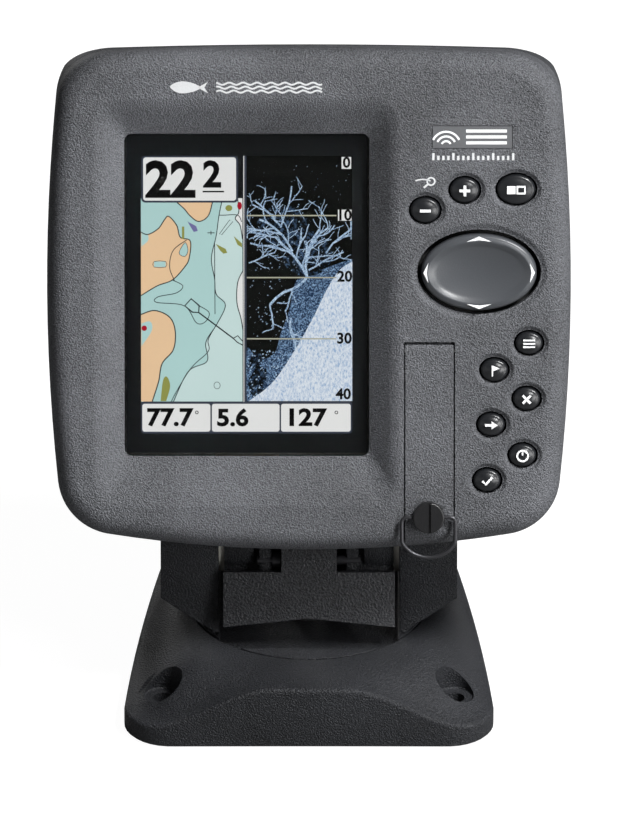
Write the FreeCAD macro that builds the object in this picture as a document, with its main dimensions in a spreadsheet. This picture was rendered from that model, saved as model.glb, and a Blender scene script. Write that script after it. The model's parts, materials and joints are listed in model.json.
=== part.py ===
import FreeCAD, Part
import math
import os
import re

import Sketcher
from FreeCAD import Placement, Rotation, Vector

# Portrait fish finder on a tilt-and-swivel quick-release mount. Millimetres, +Z up, front towards -Y.
# The origin is on the swivel axis, level with the surface that the base is screwed to.
# The head is drawn upright in a frame of its own: its face is the plane y = 0, centred on x = z = 0,
# and y counts depth into the case. place_on_head then leans that frame back about the tilt pivot.

doc = FreeCAD.newDocument("fish_finder")
sheet = doc.addObject("Spreadsheet::Sheet", "Sizes")

SIZES = {
    # how the head stands on its pivot
    "lean_back": 19, "pivot_height": 36, "pivot_behind": 36.5, "pivot_below": 66.5,
    # head case: half widths and heights where the bowed sides would meet, and the radii of the bows
    "half_top": 62.2, "half_low": 61.8, "case_top": 61.8, "case_low": 58.8,
    "side_bow": 480, "top_bow": 1200, "low_bow": 321, "case_corner": 15.2, "front_round": 5.5,
    "case_wall": 2.5, "front_wall": 3, "bezel_depth": 16, "seal_thick": 0.4, "case_depth": 42,
    "back_top": 42, "back_low": 35, "back_half": 50, "back_round": 3,
    "boss_across": 53, "boss_top": 51, "boss_low": 48, "boss_radius": 3.2, "post_radius": 4.5,
    "board_seat": 20.6, "screw_radius": 1.3, "screw_head": 2.6, "screw_head_depth": 24,
    # display: the window and the sloping recess around it
    "screen_across": -15.6, "screen_up": 0.2, "window_wide": 61.5, "window_tall": 82.2,
    "bevel_left": 6.4, "bevel_right": 6.1, "bevel_top": 8.1, "bevel_low": 10.9,
    "recess_depth": 4.5, "recess_corner": 5, "window_corner": 2, "window_seat": 5.2,
    "window_lap": 1.5, "window_thick": 1.5, "panel_thick": 3, "tray_thick": 4,
    # buttons: fit in their holes, height over the face, travel and the flange that keeps them in
    "cap_gap": 0.5, "cap_proud": 0.8, "cap_round": 1.1, "flange_lap": 0.9,
    "flange_thick": 0.8, "membrane_depth": 4.95, "membrane_thick": 1.3,
    "board_depth": 7, "board_thick": 1.4, "switch_radius": 2.4, "switch_out": 9, "switch_off": 6,
    # direction pad
    "pad_across": 42.7, "pad_up": 6.8, "pad_wide": 28.9, "pad_tall": 19.3, "pad_gap": 1.1,
    "pad_proud": 1.2, "pad_thick": 3.4, "pad_round": 1.4, "dish_wide": 25.2, "dish_tall": 15.2,
    "dish_deep": 0.7, "stem_of_pad": 2, "gimbal_depth": 3.8, "gimbal_thick": 0.7, "gimbal_radius": 4.5,
    # badge
    "badge_across": 41, "badge_up": 41.1, "badge_wide": 20.2, "badge_tall": 5.9, "badge_deep": 0.6,
    "badge_gap": 0.15, "badge_glue": 0.1,
    # main board behind the display, its screws, chips and buzzer
    "main_half": 47, "main_low": 45, "main_high": 48, "chip_half": 7, "chip_tall": 2,
    "standoff_radius": 3, "small_screw": 1, "small_head": 2, "small_head_thick": 1.6,
    "buzzer_across": 27, "buzzer_up": 42, "buzzer_radius": 6, "buzzer_front": 13,
    # card door, its quarter-turn knob and pull ring
    "door_left": 23.9, "door_right": 36.7, "door_top": -11, "door_gap": 0.35, "door_thick": 2.6,
    "lip_deep": 7, "lip_level": -61, "hinge_radius": 1.9, "hinge_pin": 0.8,
    "knob_across": 30.1, "knob_up": -55.5, "knob_radius": 3.95, "knob_thick": 2.45, "knob_lift": 0.25,
    "stem_radius": 1.5, "foot_wide": 3.4, "foot_tall": 5.6, "foot_front": 4.9, "foot_back": 6.9,
    "neck_gap": 0.6, "wire_radius": 0.52, "ring_wide": 13.45, "ring_drop": 10.25, "ring_bow": 7.78,
    "ring_corner": 1.3, "ring_low_corner": 2.5,
    # plug-in tongue that the head slides down on
    "tongue_wide": 37, "tongue_front": 26, "tongue_back": 39, "tongue_top": -22, "tongue_gap": 0.5,
    "platform_level": -53.5, "contact_depth": 32.5, "pin_pitch": 3.6, "contact_radius": 0.5, "contact_reach": 5,
    # tilt carrier, arms and pivots
    "carrier_half": 21.4, "cheek_inner": 14, "boss_round": 10.5, "arm_inner": 22.9, "arm_outer": 37.5,
    "arm_round": 13, "arm_foot": 17, "pivot_radius": 3, "head_sink": 3.2, "fit_gap": 0.05,
    # release latch
    "latch_half": 21.7, "latch_front": 22, "latch_thick": 2.5, "latch_low": -88, "latch_high": -73.8,
    "latch_arch": 2.2, "latch_pin_depth": 25.9, "latch_pin_level": -71.3, "latch_pin_radius": 1.2,
    "latch_pin_half": 13, "latch_neck": 7, "latch_top": -59.5,
    # swivel base
    "base_front": 46, "base_back": 46, "base_half_front": 47.5, "base_half_back": 36.5, "base_bow": 800,
    "base_corner": 11.4, "base_edge": 5.5, "base_top": 16.6, "base_wall": 3, "crest_half": 16,
    "plateau": 34, "disc_radius": 30.3, "disc_seat": 12, "disc_gap": 0.3, "trough_level": 14.1,
    "bolt_radius": 4, "mount_front_across": 36.8, "mount_front": 33, "mount_back_across": 28,
    "mount_back": 35, "mount_hole": 2.5, "mount_recess": 4.85, "mount_floor": 7,
}

# centre across and up, then width and height of each oval button cap
BUTTONS = {
    "zoom_out_button": (29.2, 22.5, 7.4, 6.3),
    "zoom_in_button": (39.1, 27.6, 7.4, 6.3),
    "view_button": (52.0, 27.8, 9.6, 7.5),
    "menu_button": (55.3, -11.3, 6.8, 5.7),
    "mark_button": (46.6, -18.2, 6.8, 5.7),
    "exit_button": (54.7, -25.5, 6.8, 5.7),
    "goto_button": (45.8, -32.1, 6.8, 5.7),
    "power_button": (53.7, -39.9, 6.8, 5.7),
    "check_button": (44.8, -46.3, 6.8, 5.7),
}
for button, numbers in BUTTONS.items():
    for word, value in zip(("across", "up", "wide", "tall"), numbers):
        SIZES[button + "_" + word] = value

for row, (alias, value) in enumerate(SIZES.items(), start=1):
    sheet.set("A%d" % row, alias)
    sheet.set("B%d" % row, str(value))
    sheet.setAlias("B%d" % row, alias)

probe = doc.addObject("App::FeaturePython", "Probe")
probe.addProperty("App::PropertyFloat", "value")
doc.recompute()

NODES = []

# across and up of the main board's screws and chips, and the plug contacts counted in pitches
BOARD_SPOTS = [("-38", "36"), ("38", "36"), ("-38", "-24"), ("38", "-24")]
CHIPS = [("-14", "14"), ("14", "20"), ("-16", "-8")]
CONTACTS = [-2.5, -1.5, -0.5, 0.5, 1.5, 2.5]

# left, right, low and high of the blocks that make up the keypad's stepped outline
KEYPAD_BLOCKS = [("23.5", "58", "-8", "33"), ("40.2", "58.6", "-44", "-7"), ("40.2", "49.4", "-50", "-43")]


# ---------------------------------------------------------------- helpers

def link(words):
    """A formula of plain size names, rewritten so that it reads the sheet."""
    return re.sub(r"[a-z]\w*", lambda found: "Sizes." + found[0] if found[0] in SIZES else found[0], words)


def number(words):
    """What a formula of size names comes to now."""
    probe.setExpression("value", link(words))
    probe.recompute()
    return float(probe.value)


def bind(target, **formulas):
    """Tie properties of an object to formulas; a double underscore in a name stands for a dot."""
    for path, words in formulas.items():
        target.setExpression(path.replace("__", "."), link(words))


def new_body(name):
    body = doc.addObject("PartDesign::Body", name)
    body.Label = name
    return body


def sketch_on(body, plane, level):
    """A sketch on one of the body's own origin planes: XZ at a depth, XY at a height, YZ at an x."""
    sketch = body.newObject("Sketcher::SketchObject", body.Name + "_sketch")
    support = next(f for f in body.Origin.OriginFeatures if f.Role == plane + "_Plane")
    sketch.AttachmentSupport = (support, [""])
    sketch.MapMode = "FlatFace"
    side = "-(%s)" if plane == "XZ" else "(%s)"
    sketch.setExpression("AttachmentOffset.Base.z", link(side % level))
    return sketch


def hold(sketch, kind, *where_and_formula):
    """Add a dimension to a sketch and tie it to a formula."""
    *where, words = where_and_formula
    at = sketch.addConstraint(Sketcher.Constraint(kind, *where, number(words)))
    sketch.setExpression("Constraints[%d]" % at, link(words))


def bulging_arc(start, end, radius):
    """The shallow arc that leaves the line from start to end on its right-hand side."""
    along = end - start
    rise = radius - math.sqrt(radius ** 2 - (along.Length / 2) ** 2)
    right = Vector(along.y, -along.x, 0).normalize()
    return Part.Arc(start, (start + end) * 0.5 + right * rise, end)


def draw_outline(sketch, corners, bows=None):
    """Close an anticlockwise outline; bows holds the radius of each side that bulges outwards."""
    bows = bows or {}
    spots = [Vector(number(across), number(up), 0) for across, up in corners]
    count = len(spots)
    for side in range(count):
        start, end = spots[side], spots[(side + 1) % count]
        if side in bows:
            sketch.addGeometry(bulging_arc(start, end, number(bows[side])))
        else:
            sketch.addGeometry(Part.LineSegment(start, end))
    for side in range(count):
        sketch.addConstraint(Sketcher.Constraint("Coincident", side, 2, (side + 1) % count, 1))
    for side, (across, up) in enumerate(corners):
        hold(sketch, "DistanceX", side, 1, across)
        hold(sketch, "DistanceY", side, 1, up)
    for side, radius in bows.items():
        hold(sketch, "Radius", side, radius)


def draw_rectangle(sketch, left, right, low, high):
    draw_outline(sketch, [(left, low), (right, low), (right, high), (left, high)])


def draw_rounded(sketch, left, right, low, high, corner):
    """A rectangle with four equal round corners, anticlockwise from its bottom side."""
    x0, x1, z0, z1, r = [number(words) for words in (left, right, low, high, corner)]
    ends = [((x0 + r, z0), (x1 - r, z0)), ((x1, z0 + r), (x1, z1 - r)),
            ((x1 - r, z1), (x0 + r, z1)), ((x0, z1 - r), (x0, z0 + r))]
    centres = [(x1 - r, z0 + r), (x1 - r, z1 - r), (x0 + r, z1 - r), (x0 + r, z0 + r)]
    for side, (start, end) in enumerate(ends):
        sketch.addGeometry(Part.LineSegment(Vector(*start, 0), Vector(*end, 0)))
        ring = Part.Circle(Vector(*centres[side], 0), Vector(0, 0, 1), r)
        sketch.addGeometry(Part.ArcOfCircle(ring, (side - 1) * math.pi / 2, side * math.pi / 2))
        sketch.addConstraint(Sketcher.Constraint("Vertical" if side % 2 else "Horizontal", 2 * side))
    for piece in range(8):
        sketch.addConstraint(Sketcher.Constraint("Tangent", piece, 2, (piece + 1) % 8, 1))
    for arc in (3, 5, 7):
        sketch.addConstraint(Sketcher.Constraint("Equal", 1, arc))
    hold(sketch, "Radius", 1, corner)
    hold(sketch, "DistanceY", 0, 1, low)
    hold(sketch, "DistanceX", 2, 1, right)
    hold(sketch, "DistanceY", 4, 1, high)
    hold(sketch, "DistanceX", 6, 1, left)


def draw_circle(sketch, across, up, radius):
    at = sketch.addGeometry(Part.Circle(Vector(number(across), number(up), 0), Vector(0, 0, 1), number(radius)))
    hold(sketch, "DistanceX", at, 3, across)
    hold(sketch, "DistanceY", at, 3, up)
    hold(sketch, "Radius", at, radius)


def draw_oval(sketch, across, up, wide, tall):
    """An upright oval, wider than it is tall."""
    centre = Vector(number(across), number(up), 0)
    side = centre + Vector(number(wide) / 2, 0, 0)
    top = centre + Vector(0, number(tall) / 2, 0)
    at = sketch.addGeometry(Part.Ellipse(side, top, centre))
    sketch.exposeInternalGeometry(at)
    hold(sketch, "DistanceX", at, 3, across)
    hold(sketch, "DistanceY", at, 3, up)
    sketch.addConstraint(Sketcher.Constraint("Horizontal", at + 1))
    hold(sketch, "Distance", at + 1, wide)
    hold(sketch, "Distance", at + 2, tall)


def extrude(body, sketch, length, backward=False, kind="Pad"):
    feature = body.newObject("PartDesign::" + kind, body.Name + "_" + kind.lower())
    feature.Profile = sketch
    feature.Reversed = backward
    bind(feature, Length=length)
    sketch.Visibility = False
    doc.recompute()
    return feature


def deepen(body, sketch, front, back):
    """Pad a sketch drawn at the depth `front` on the XZ plane, back to the depth `back`."""
    return extrude(body, sketch, "(%s) - (%s)" % (back, front), backward=True)


def block(name, left, right, low, high, front, back):
    """A rectangular block of the head frame, given by its sides, its levels and its depths."""
    body = new_body(name)
    sketch = sketch_on(body, "XZ", front)
    draw_rectangle(sketch, left, right, low, high)
    deepen(body, sketch, front, back)
    return body


def rod(name, across, up, radius, front, back):
    """A round bar along the depth of the head frame."""
    body = new_body(name)
    sketch = sketch_on(body, "XZ", front)
    draw_circle(sketch, across, up, radius)
    deepen(body, sketch, front, back)
    return body


def oval(name, across, up, wide, tall, front, back):
    body = new_body(name)
    sketch = sketch_on(body, "XZ", front)
    draw_oval(sketch, across, up, wide, tall)
    deepen(body, sketch, front, back)
    return body


def cross_bar(name, depth, level, radius, left, right):
    """A round bar along X at a depth and a level."""
    body = new_body(name)
    sketch = sketch_on(body, "YZ", left)
    draw_circle(sketch, depth, level, radius)
    extrude(body, sketch, "(%s) - (%s)" % (right, left))
    return body


def column(name, across, along, radius, low, high):
    """A round bar along Z."""
    body = new_body(name)
    sketch = sketch_on(body, "XY", low)
    draw_circle(sketch, across, along, radius)
    extrude(body, sketch, "(%s) - (%s)" % (high, low))
    return body


def slab(name, left, right, outline, bows=None):
    """An outline of (depth, level) corners, drawn on the YZ plane and padded from left to right."""
    body = new_body(name)
    sketch = sketch_on(body, "YZ", left)
    draw_outline(sketch, outline, bows)
    extrude(body, sketch, "(%s) - (%s)" % (right, left))
    return body


def dress(body, kind, chosen, size):
    """Fillet or chamfer the edges of the body's last feature that `chosen` says yes to."""
    base = body.Tip
    names = ["Edge%d" % n for n, edge in enumerate(base.Shape.Edges, start=1) if chosen(edge)]
    feature = body.newObject("PartDesign::" + kind, body.Name + "_" + kind.lower())
    feature.Base = (base, names)
    bind(feature, **{"Radius" if kind == "Fillet" else "Size": size})
    doc.recompute()
    return feature


def runs_deep(edge):
    box = edge.BoundBox
    return box.XLength < 0.01 and box.ZLength < 0.01


def lies_at_depth(depth):
    return lambda edge: edge.BoundBox.YLength < 0.01 and abs(edge.BoundBox.YMin - depth) < 0.01


def runs_up(edge):
    box = edge.BoundBox
    return box.XLength < 0.01 and box.YLength < 0.01


def fuse(name, parts):
    joined = doc.addObject("Part::MultiFuse", name)
    joined.Shapes = parts
    joined.Label = name
    return joined


def cut(name, base, *tools):
    result = doc.addObject("Part::Cut", name)
    result.Base = base
    result.Tool = tools[0] if len(tools) == 1 else fuse(name + "_tools", list(tools))
    result.Label = name
    return result


def common(name, *parts):
    shared = doc.addObject("Part::MultiCommon", name)
    shared.Shapes = list(parts)
    shared.Label = name
    return shared


def group(name, parts):
    """Separate solids that share one node."""
    together = doc.addObject("Part::Compound", name)
    together.Links = parts
    together.Label = name
    return together


def keep(thing):
    NODES.append(thing)
    return thing


def place_on_head(thing):
    """Lean a sub-part of the head frame back about the tilt pivot."""
    thing.Placement = Placement(Vector(0, 0, 0), Rotation(Vector(1, 0, 0), -SIZES["lean_back"]))
    bind(thing, Placement__Rotation__Angle="-lean_back * 1 deg",
         Placement__Base__y="pivot_below * sin(lean_back * 1 deg) - pivot_behind * cos(lean_back * 1 deg)",
         Placement__Base__z="pivot_height + pivot_below * cos(lean_back * 1 deg)"
                            " + pivot_behind * sin(lean_back * 1 deg)")
    return keep(thing)


# ---------------------------------------------------------------- head case

def case_block(name, inset, front, back):
    """The bowed outline of the case, moved in by a wall, from one depth to another."""
    body = new_body(name)
    sketch = sketch_on(body, "XZ", front)
    draw_outline(sketch, [("-(half_low - %s)" % inset, "-(case_low - %s)" % inset),
                          ("half_low - %s" % inset, "-(case_low - %s)" % inset),
                          ("half_top - %s" % inset, "case_top - %s" % inset),
                          ("-(half_top - %s)" % inset, "case_top - %s" % inset)],
                 {0: "low_bow", 1: "side_bow", 2: "top_bow", 3: "side_bow"})
    deepen(body, sketch, front, back)
    dress(body, "Fillet", runs_deep, "case_corner - %s" % inset)
    return body


def rear_block(name, inset):
    """The case behind the parting line: full outline in front, drawn in towards a flat back."""
    front = "bezel_depth + seal_thick"
    outline = case_block(name + "_outline", inset, front, "case_depth - " + inset)
    reach = "case_depth - " + inset
    profile = slab(name + "_profile", "-half_top - 10", "half_top + 10", [
        (front, "-(case_low + 4) + " + inset), (front + " + 2", "-(case_low + 1) + " + inset),
        (reach, "-back_low + " + inset), (reach, "back_top - " + inset),
        (front + " + 1", "case_top + 2 - " + inset), (front, "case_top + 2 - " + inset)])
    plan = new_body(name + "_plan")
    sketch = sketch_on(plan, "XY", "-case_low - 10")
    draw_outline(sketch, [("-half_top - 5", front), ("half_top + 5", front),
                          ("half_top + 5 - %s" % inset, front + " + 4"), ("back_half - " + inset, reach),
                          ("-(back_half - %s)" % inset, reach), ("-(half_top + 5 - %s)" % inset,
                                                                 front + " + 4")])
    extrude(plan, sketch, "case_low + case_top + 20")
    return common(name, outline, profile, plan)


def corner_rods(name, radius, front, back):
    return [rod("%s_%d" % (name, place), "%d * boss_across" % side, up, radius, front, back)
            for place, (side, up) in enumerate([(-1, "boss_top"), (1, "boss_top"), (-1, "-boss_low"),
                                                (1, "-boss_low")])]


def display_recess():
    """The sloping recess: a loft from its rim down to the window, and the straight cut behind it."""
    body = new_body("display_recess")
    left, right = "(screen_across - window_wide / 2)", "(screen_across + window_wide / 2)"
    low, high = "(screen_up - window_tall / 2)", "(screen_up + window_tall / 2)"
    rim = sketch_on(body, "XZ", "0")
    draw_rounded(rim, left + " - bevel_left", right + " + bevel_right", low + " - bevel_low",
                 high + " + bevel_top", "recess_corner")
    floor = sketch_on(body, "XZ", "recess_depth")
    draw_rounded(floor, left, right, low, high, "window_corner")
    loft = body.newObject("PartDesign::AdditiveLoft", "display_recess_loft")
    loft.Profile = rim
    loft.Sections = [floor]
    doc.recompute()
    through = block("window_cut", left, right, low, high, "recess_depth - 0.01", "window_seat")
    dress(through, "Fillet", runs_deep, "window_corner")
    return [body, through]


def button_parts(name):
    """A domed cap with a flange that stays behind the front wall. Gives back the hole that it needs."""
    spot = (name + "_across", name + "_up")
    wide, tall = name + "_wide", name + "_tall"
    cap = oval(name + "_cap", *spot, wide, tall, "-cap_proud", "front_wall + 0.5")
    dress(cap, "Fillet", lies_at_depth(-SIZES["cap_proud"]), "cap_round")
    flange = oval(name + "_flange", *spot, wide + " + 2 * (cap_gap + flange_lap)",
                  tall + " + 2 * (cap_gap + flange_lap)", "front_wall + 0.1", "front_wall + 0.1 + flange_thick")
    place_on_head(fuse(name, [cap, flange]))
    return oval(name + "_hole", *spot, wide + " + 2 * cap_gap", tall + " + 2 * cap_gap", "-1",
                "front_wall + 1")


def front_bezel():
    outer = case_block("bezel_outer", "0", "0", "bezel_depth")
    dress(outer, "Fillet", lies_at_depth(0), "front_round")
    inner = case_block("bezel_inner", "case_wall", "front_wall", "bezel_depth + 1")
    screen_left = "screen_across - window_wide / 2 - bevel_left - 2"
    screen_right = "screen_across + window_wide / 2 + bevel_right + 0.8"
    funnel = block("funnel_wall", screen_left, screen_right,
                   "screen_up - window_tall / 2 - bevel_low - 2", "screen_up + window_tall / 2 + bevel_top + 2",
                   "0", "window_seat")
    bay_wall = block("bay_wall", "door_left - 1.4", "door_right + 1.4", "-case_low - 8", "door_top + 1.6",
                     "0", "bezel_depth - 1")
    bosses = corner_rods("boss", "boss_radius", "0", "bezel_depth")
    hollow = cut("bezel_hollow", inner, funnel, bay_wall, *bosses)
    tools = display_recess() + [button_parts(name) for name in BUTTONS]
    tools.append(oval("pad_hole", "pad_across", "pad_up", "pad_wide + 2 * pad_gap", "pad_tall + 2 * pad_gap",
                      "-1", "front_wall + 1"))
    tools.append(block("badge_seat", "badge_across - badge_wide / 2", "badge_across + badge_wide / 2",
                       "badge_up - badge_tall / 2", "badge_up + badge_tall / 2", "-1", "badge_deep"))
    # card door seat with its wrap-around lip, socket bay, hinge pin hole and quarter-turn keyhole
    tools.append(block("door_seat", "door_left", "door_right", "-case_low - 12", "door_top", "-1",
                       "2 * hinge_radius + door_gap"))
    tools.append(block("lip_seat", "door_left", "door_right", "-case_low - 12", "lip_level + door_gap", "-1",
                       "lip_deep + door_gap"))
    tools.append(block("socket_bay", "door_left + 1.6", "door_right - 1.6", "door_top - 37", "door_top - 5.5",
                       "3", "bezel_depth - 2.5"))
    tools.append(cross_bar("hinge_hole", "hinge_radius", "door_top - door_gap - hinge_radius",
                           "hinge_pin + fit_gap", "door_left - 1.2", "door_right + 1.2"))
    tools.append(oval_up("keyhole", "foot_wide + 2 * neck_gap", "foot_tall + 2 * neck_gap", "3",
                         "foot_back + 1"))
    tools.append(rod("keyhole_chamber", "knob_across", "knob_up", "foot_tall / 2 + neck_gap",
                     "foot_front - 0.3", "foot_back + 1"))
    tools += corner_rods("pilot", "screw_radius", "front_wall + 2", "bezel_depth + 1")
    return place_on_head(cut("front_bezel", cut("bezel_shell", outer, hollow), *tools))


def oval_up(name, wide, tall, front, back):
    """A slot taller than wide about the knob's axis: straight sides with round ends."""
    body = new_body(name)
    sketch = sketch_on(body, "XZ", front)
    left, right = "knob_across - (%s) / 2" % wide, "knob_across + (%s) / 2" % wide
    low = "knob_up - (%s) / 2 + (%s) / 4" % (tall, wide)
    high = "knob_up + (%s) / 2 - (%s) / 4" % (tall, wide)
    draw_outline(sketch, [(left, low), (right, low), (right, high), (left, high)],
                 {0: "(%s) * 0.625" % wide, 2: "(%s) * 0.625" % wide})
    deepen(body, sketch, front, back)
    return body


def rear_cover():
    outer = rear_block("rear_outer", "0")
    inner = rear_block("rear_inner", "case_wall")
    front = "bezel_depth + seal_thick"
    housing = block("tongue_housing", "-tongue_wide / 2 - tongue_gap - case_wall",
                    "tongue_wide / 2 + tongue_gap + case_wall", "-case_low",
                    "tongue_top + tongue_gap + case_wall",
                    "tongue_front - tongue_gap - case_wall", "case_depth")
    pocket = block("tongue_pocket", "-tongue_wide / 2 - tongue_gap", "tongue_wide / 2 + tongue_gap",
                   "-case_low - 5", "tongue_top + tongue_gap", "tongue_front - tongue_gap",
                   "tongue_back + tongue_gap")
    posts = corner_rods("post", "post_radius", front, "case_depth")
    standoffs = [rod("standoff_%d" % n, across, up, "standoff_radius", "board_seat", "case_depth")
                 for n, (across, up) in enumerate(BOARD_SPOTS)]
    hollow = cut("rear_hollow", inner, housing, *posts, *standoffs)
    shell = cut("rear_shell", outer, hollow)
    tools = [pocket]
    tools += corner_rods("screw_way", "screw_radius + 0.1", "bezel_depth - 1", "screw_head_depth + 1")
    tools += corner_rods("head_way", "screw_head + 0.3", "screw_head_depth", "case_depth + 1")
    tools += [rod("board_pilot_%d" % n, across, up, "small_screw + fit_gap", "board_seat - 1",
                  "board_seat + 8.5")
              for n, (across, up) in enumerate(BOARD_SPOTS)]
    tools.append(block("contact_way", "-3 * pin_pitch", "3 * pin_pitch", "tongue_top - 1",
                       "tongue_top + tongue_gap + case_wall + 1", "contact_depth - 1.6", "contact_depth + 1.6"))
    return place_on_head(cut("rear_cover", shell, *tools))


def case_seal():
    outer = case_block("seal_outer", "0.5", "bezel_depth", "bezel_depth + seal_thick")
    inner = case_block("seal_inner", "2.3", "bezel_depth - 1", "bezel_depth + seal_thick + 1")
    place_on_head(cut("case_seal", outer, inner))


def screw(name, across, up, shank, head, tip, seat, head_thick):
    """A screw driven forwards: the shank runs from its tip back to the head's seat."""
    return fuse(name, [rod(name + "_shank", across, up, shank, tip, "(%s) + 0.2" % seat),
                       rod(name + "_head", across, up, head, seat, "(%s) + %s" % (seat, head_thick))])


def case_screws():
    spots = [(side, up) for up in ("boss_top", "-boss_low") for side in ("-boss_across", "boss_across")]
    place_on_head(group("case_screws", [
        screw("case_screw_%d" % n, across, up, "screw_radius - fit_gap", "screw_head", "6",
              "screw_head_depth", "2.4") for n, (across, up) in enumerate(spots)]))


def display():
    left, right = "screen_across - window_wide / 2", "screen_across + window_wide / 2"
    low, high = "screen_up - window_tall / 2", "screen_up + window_tall / 2"
    window = block("display_window", left + " - window_lap", right + " + window_lap", low + " - window_lap",
                   high + " + window_lap", "window_seat", "window_seat + window_thick")
    dress(window, "Fillet", runs_deep, "window_corner + window_lap")
    place_on_head(window)
    panel = block("display_panel", left + " + 0.5", right + " - 0.5", low + " + 0.5", high + " - 0.5",
                  "window_seat + window_thick + 0.1", "window_seat + window_thick + 0.1 + panel_thick")
    place_on_head(panel)
    tray_front = "window_seat + window_thick + panel_thick + 0.2"
    tray = block("display_tray", left + " - 0.5", right + " + 0.5", low + " - 0.5", high + " + 0.5",
                 tray_front, tray_front + " + tray_thick")
    dress(tray, "Fillet", runs_deep, "window_corner")
    place_on_head(tray)
    place_on_head(block("display_flex", "screen_across - 8", "screen_across + 8", low + " - 1.2",
                        low + " - 0.9", "window_seat + window_thick + 0.4", "board_seat - board_thick - 0.1"))


def electronics():
    board = block("board_plate", "-main_half", "main_half", "-main_low", "main_high",
                  "board_seat - board_thick", "board_seat")
    holes = [rod("board_hole_%d" % n, across, up, "small_screw + 0.2", "board_seat - 3", "board_seat + 1")
             for n, (across, up) in enumerate(BOARD_SPOTS)]
    chips = [block("chip_%d" % n, across + " - chip_half", across + " + chip_half", up + " - chip_half",
                   up + " + chip_half", "board_seat - 0.1", "board_seat + chip_tall")
             for n, (across, up) in enumerate(CHIPS)]
    plate = fuse("board_populated", [board] + chips)
    place_on_head(cut("main_board", plate, *holes))
    place_on_head(group("board_screws", [
        fuse("board_screw_%d" % n, [
            rod("board_shank_%d" % n, across, up, "small_screw", "board_seat - board_thick - 0.2",
                "board_seat + 8"),
            rod("board_head_%d" % n, across, up, "small_head", "board_seat - board_thick - small_head_thick",
                "board_seat - board_thick")]) for n, (across, up) in enumerate(BOARD_SPOTS)]))
    place_on_head(rod("alarm_buzzer", "buzzer_across", "buzzer_up", "buzzer_radius", "buzzer_front",
                      "board_seat - board_thick - 0.05"))
    place_on_head(fuse("head_connector", [
        block("connector_body", "-3 * pin_pitch - 2", "3 * pin_pitch + 2",
              "tongue_top + tongue_gap + case_wall + 0.1", "tongue_top + tongue_gap + case_wall + 4",
              "contact_depth - 3", "contact_depth + 3")] + [
        column("contact_%d" % n, "%s * pin_pitch" % place, "contact_depth", "contact_radius",
               "tongue_top - contact_reach", "tongue_top + tongue_gap + case_wall + 0.3")
        for n, place in enumerate(CONTACTS)]))


def keypad():
    front = "membrane_depth"
    sheet_parts = [block("membrane_%d" % n, *outline, front, front + " + membrane_thick")
                   for n, outline in enumerate(KEYPAD_BLOCKS)]
    centre_post = rod("membrane_post", "pad_across", "pad_up", "stem_of_pad",
                      "gimbal_depth + gimbal_thick + 0.1", front + " + 0.2")
    place_on_head(fuse("keypad_membrane", sheet_parts + [centre_post]))
    board_parts = [block("keys_%d" % n, *outline, "board_depth", "board_depth + board_thick")
                   for n, outline in enumerate(KEYPAD_BLOCKS)]
    place_on_head(fuse("keypad_board", board_parts))
    spots = [(name + "_across", name + "_up") for name in BUTTONS]
    spots += [("pad_across + switch_out", "pad_up"), ("pad_across - switch_out", "pad_up"),
              ("pad_across", "pad_up + switch_off"), ("pad_across", "pad_up - switch_off")]
    place_on_head(group("key_switches", [
        rod("key_switch_%d" % n, across, up, "switch_radius", front + " + membrane_thick + 0.05",
            "board_depth") for n, (across, up) in enumerate(spots)]))


def direction_pad():
    disc = oval("pad_disc", "pad_across", "pad_up", "pad_wide", "pad_tall", "-pad_proud",
                "pad_thick - pad_proud")
    dress(disc, "Fillet", lies_at_depth(-SIZES["pad_proud"]), "pad_round")
    dish = oval("pad_dish", "pad_across", "pad_up", "dish_wide", "dish_tall", "-pad_proud - 1",
                "dish_deep - pad_proud")
    stem = rod("pad_stem", "pad_across", "pad_up", "stem_of_pad", "1", "gimbal_depth - 0.2")
    place_on_head(fuse("direction_pad", [cut("pad_cap", disc, dish), stem]))
    place_on_head(rod("rocker_gimbal", "pad_across", "pad_up", "gimbal_radius", "gimbal_depth",
                      "gimbal_depth + gimbal_thick"))


def badge():
    plate = block("nameplate", "badge_across - badge_wide / 2 + badge_gap",
                  "badge_across + badge_wide / 2 - badge_gap", "badge_up - badge_tall / 2 + badge_gap",
                  "badge_up + badge_tall / 2 - badge_gap", "badge_glue", "badge_deep")
    place_on_head(plate)


# ---------------------------------------------------------------- card door

def card_door():
    """Strip door that follows the case's own surface and wraps under its bottom edge."""
    left, right = "door_left + door_gap", "door_right - door_gap"
    hinge_level = "door_top - door_gap - hinge_radius"
    outer = case_block("door_outer", "0", "0", "lip_deep")
    dress(outer, "Fillet", lies_at_depth(0), "front_round")
    strip = block("door_strip", left, right, "-case_low - 12", hinge_level, "-1", "door_thick")
    lip = block("door_lip", left, right, "-case_low - 12", "lip_level", "-1", "lip_deep")
    knuckle = cross_bar("door_knuckle", "hinge_radius", hinge_level, "hinge_radius", left, right)
    skin = common("door_skin", outer, fuse("door_shape", [strip, lip]))
    blank = fuse("door_blank", [skin, knuckle])
    bore = cross_bar("door_bore", "hinge_radius", hinge_level, "hinge_pin + fit_gap", "door_left", "door_right")
    knob_way = rod("knob_way", "knob_across", "knob_up", "stem_radius + fit_gap", "-1", "door_thick + 1")
    place_on_head(cut("card_door", blank, bore, knob_way))
    place_on_head(cross_bar("door_hinge_pin", "hinge_radius", hinge_level, "hinge_pin", "door_left - 1",
                            "door_right + 1"))


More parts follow.
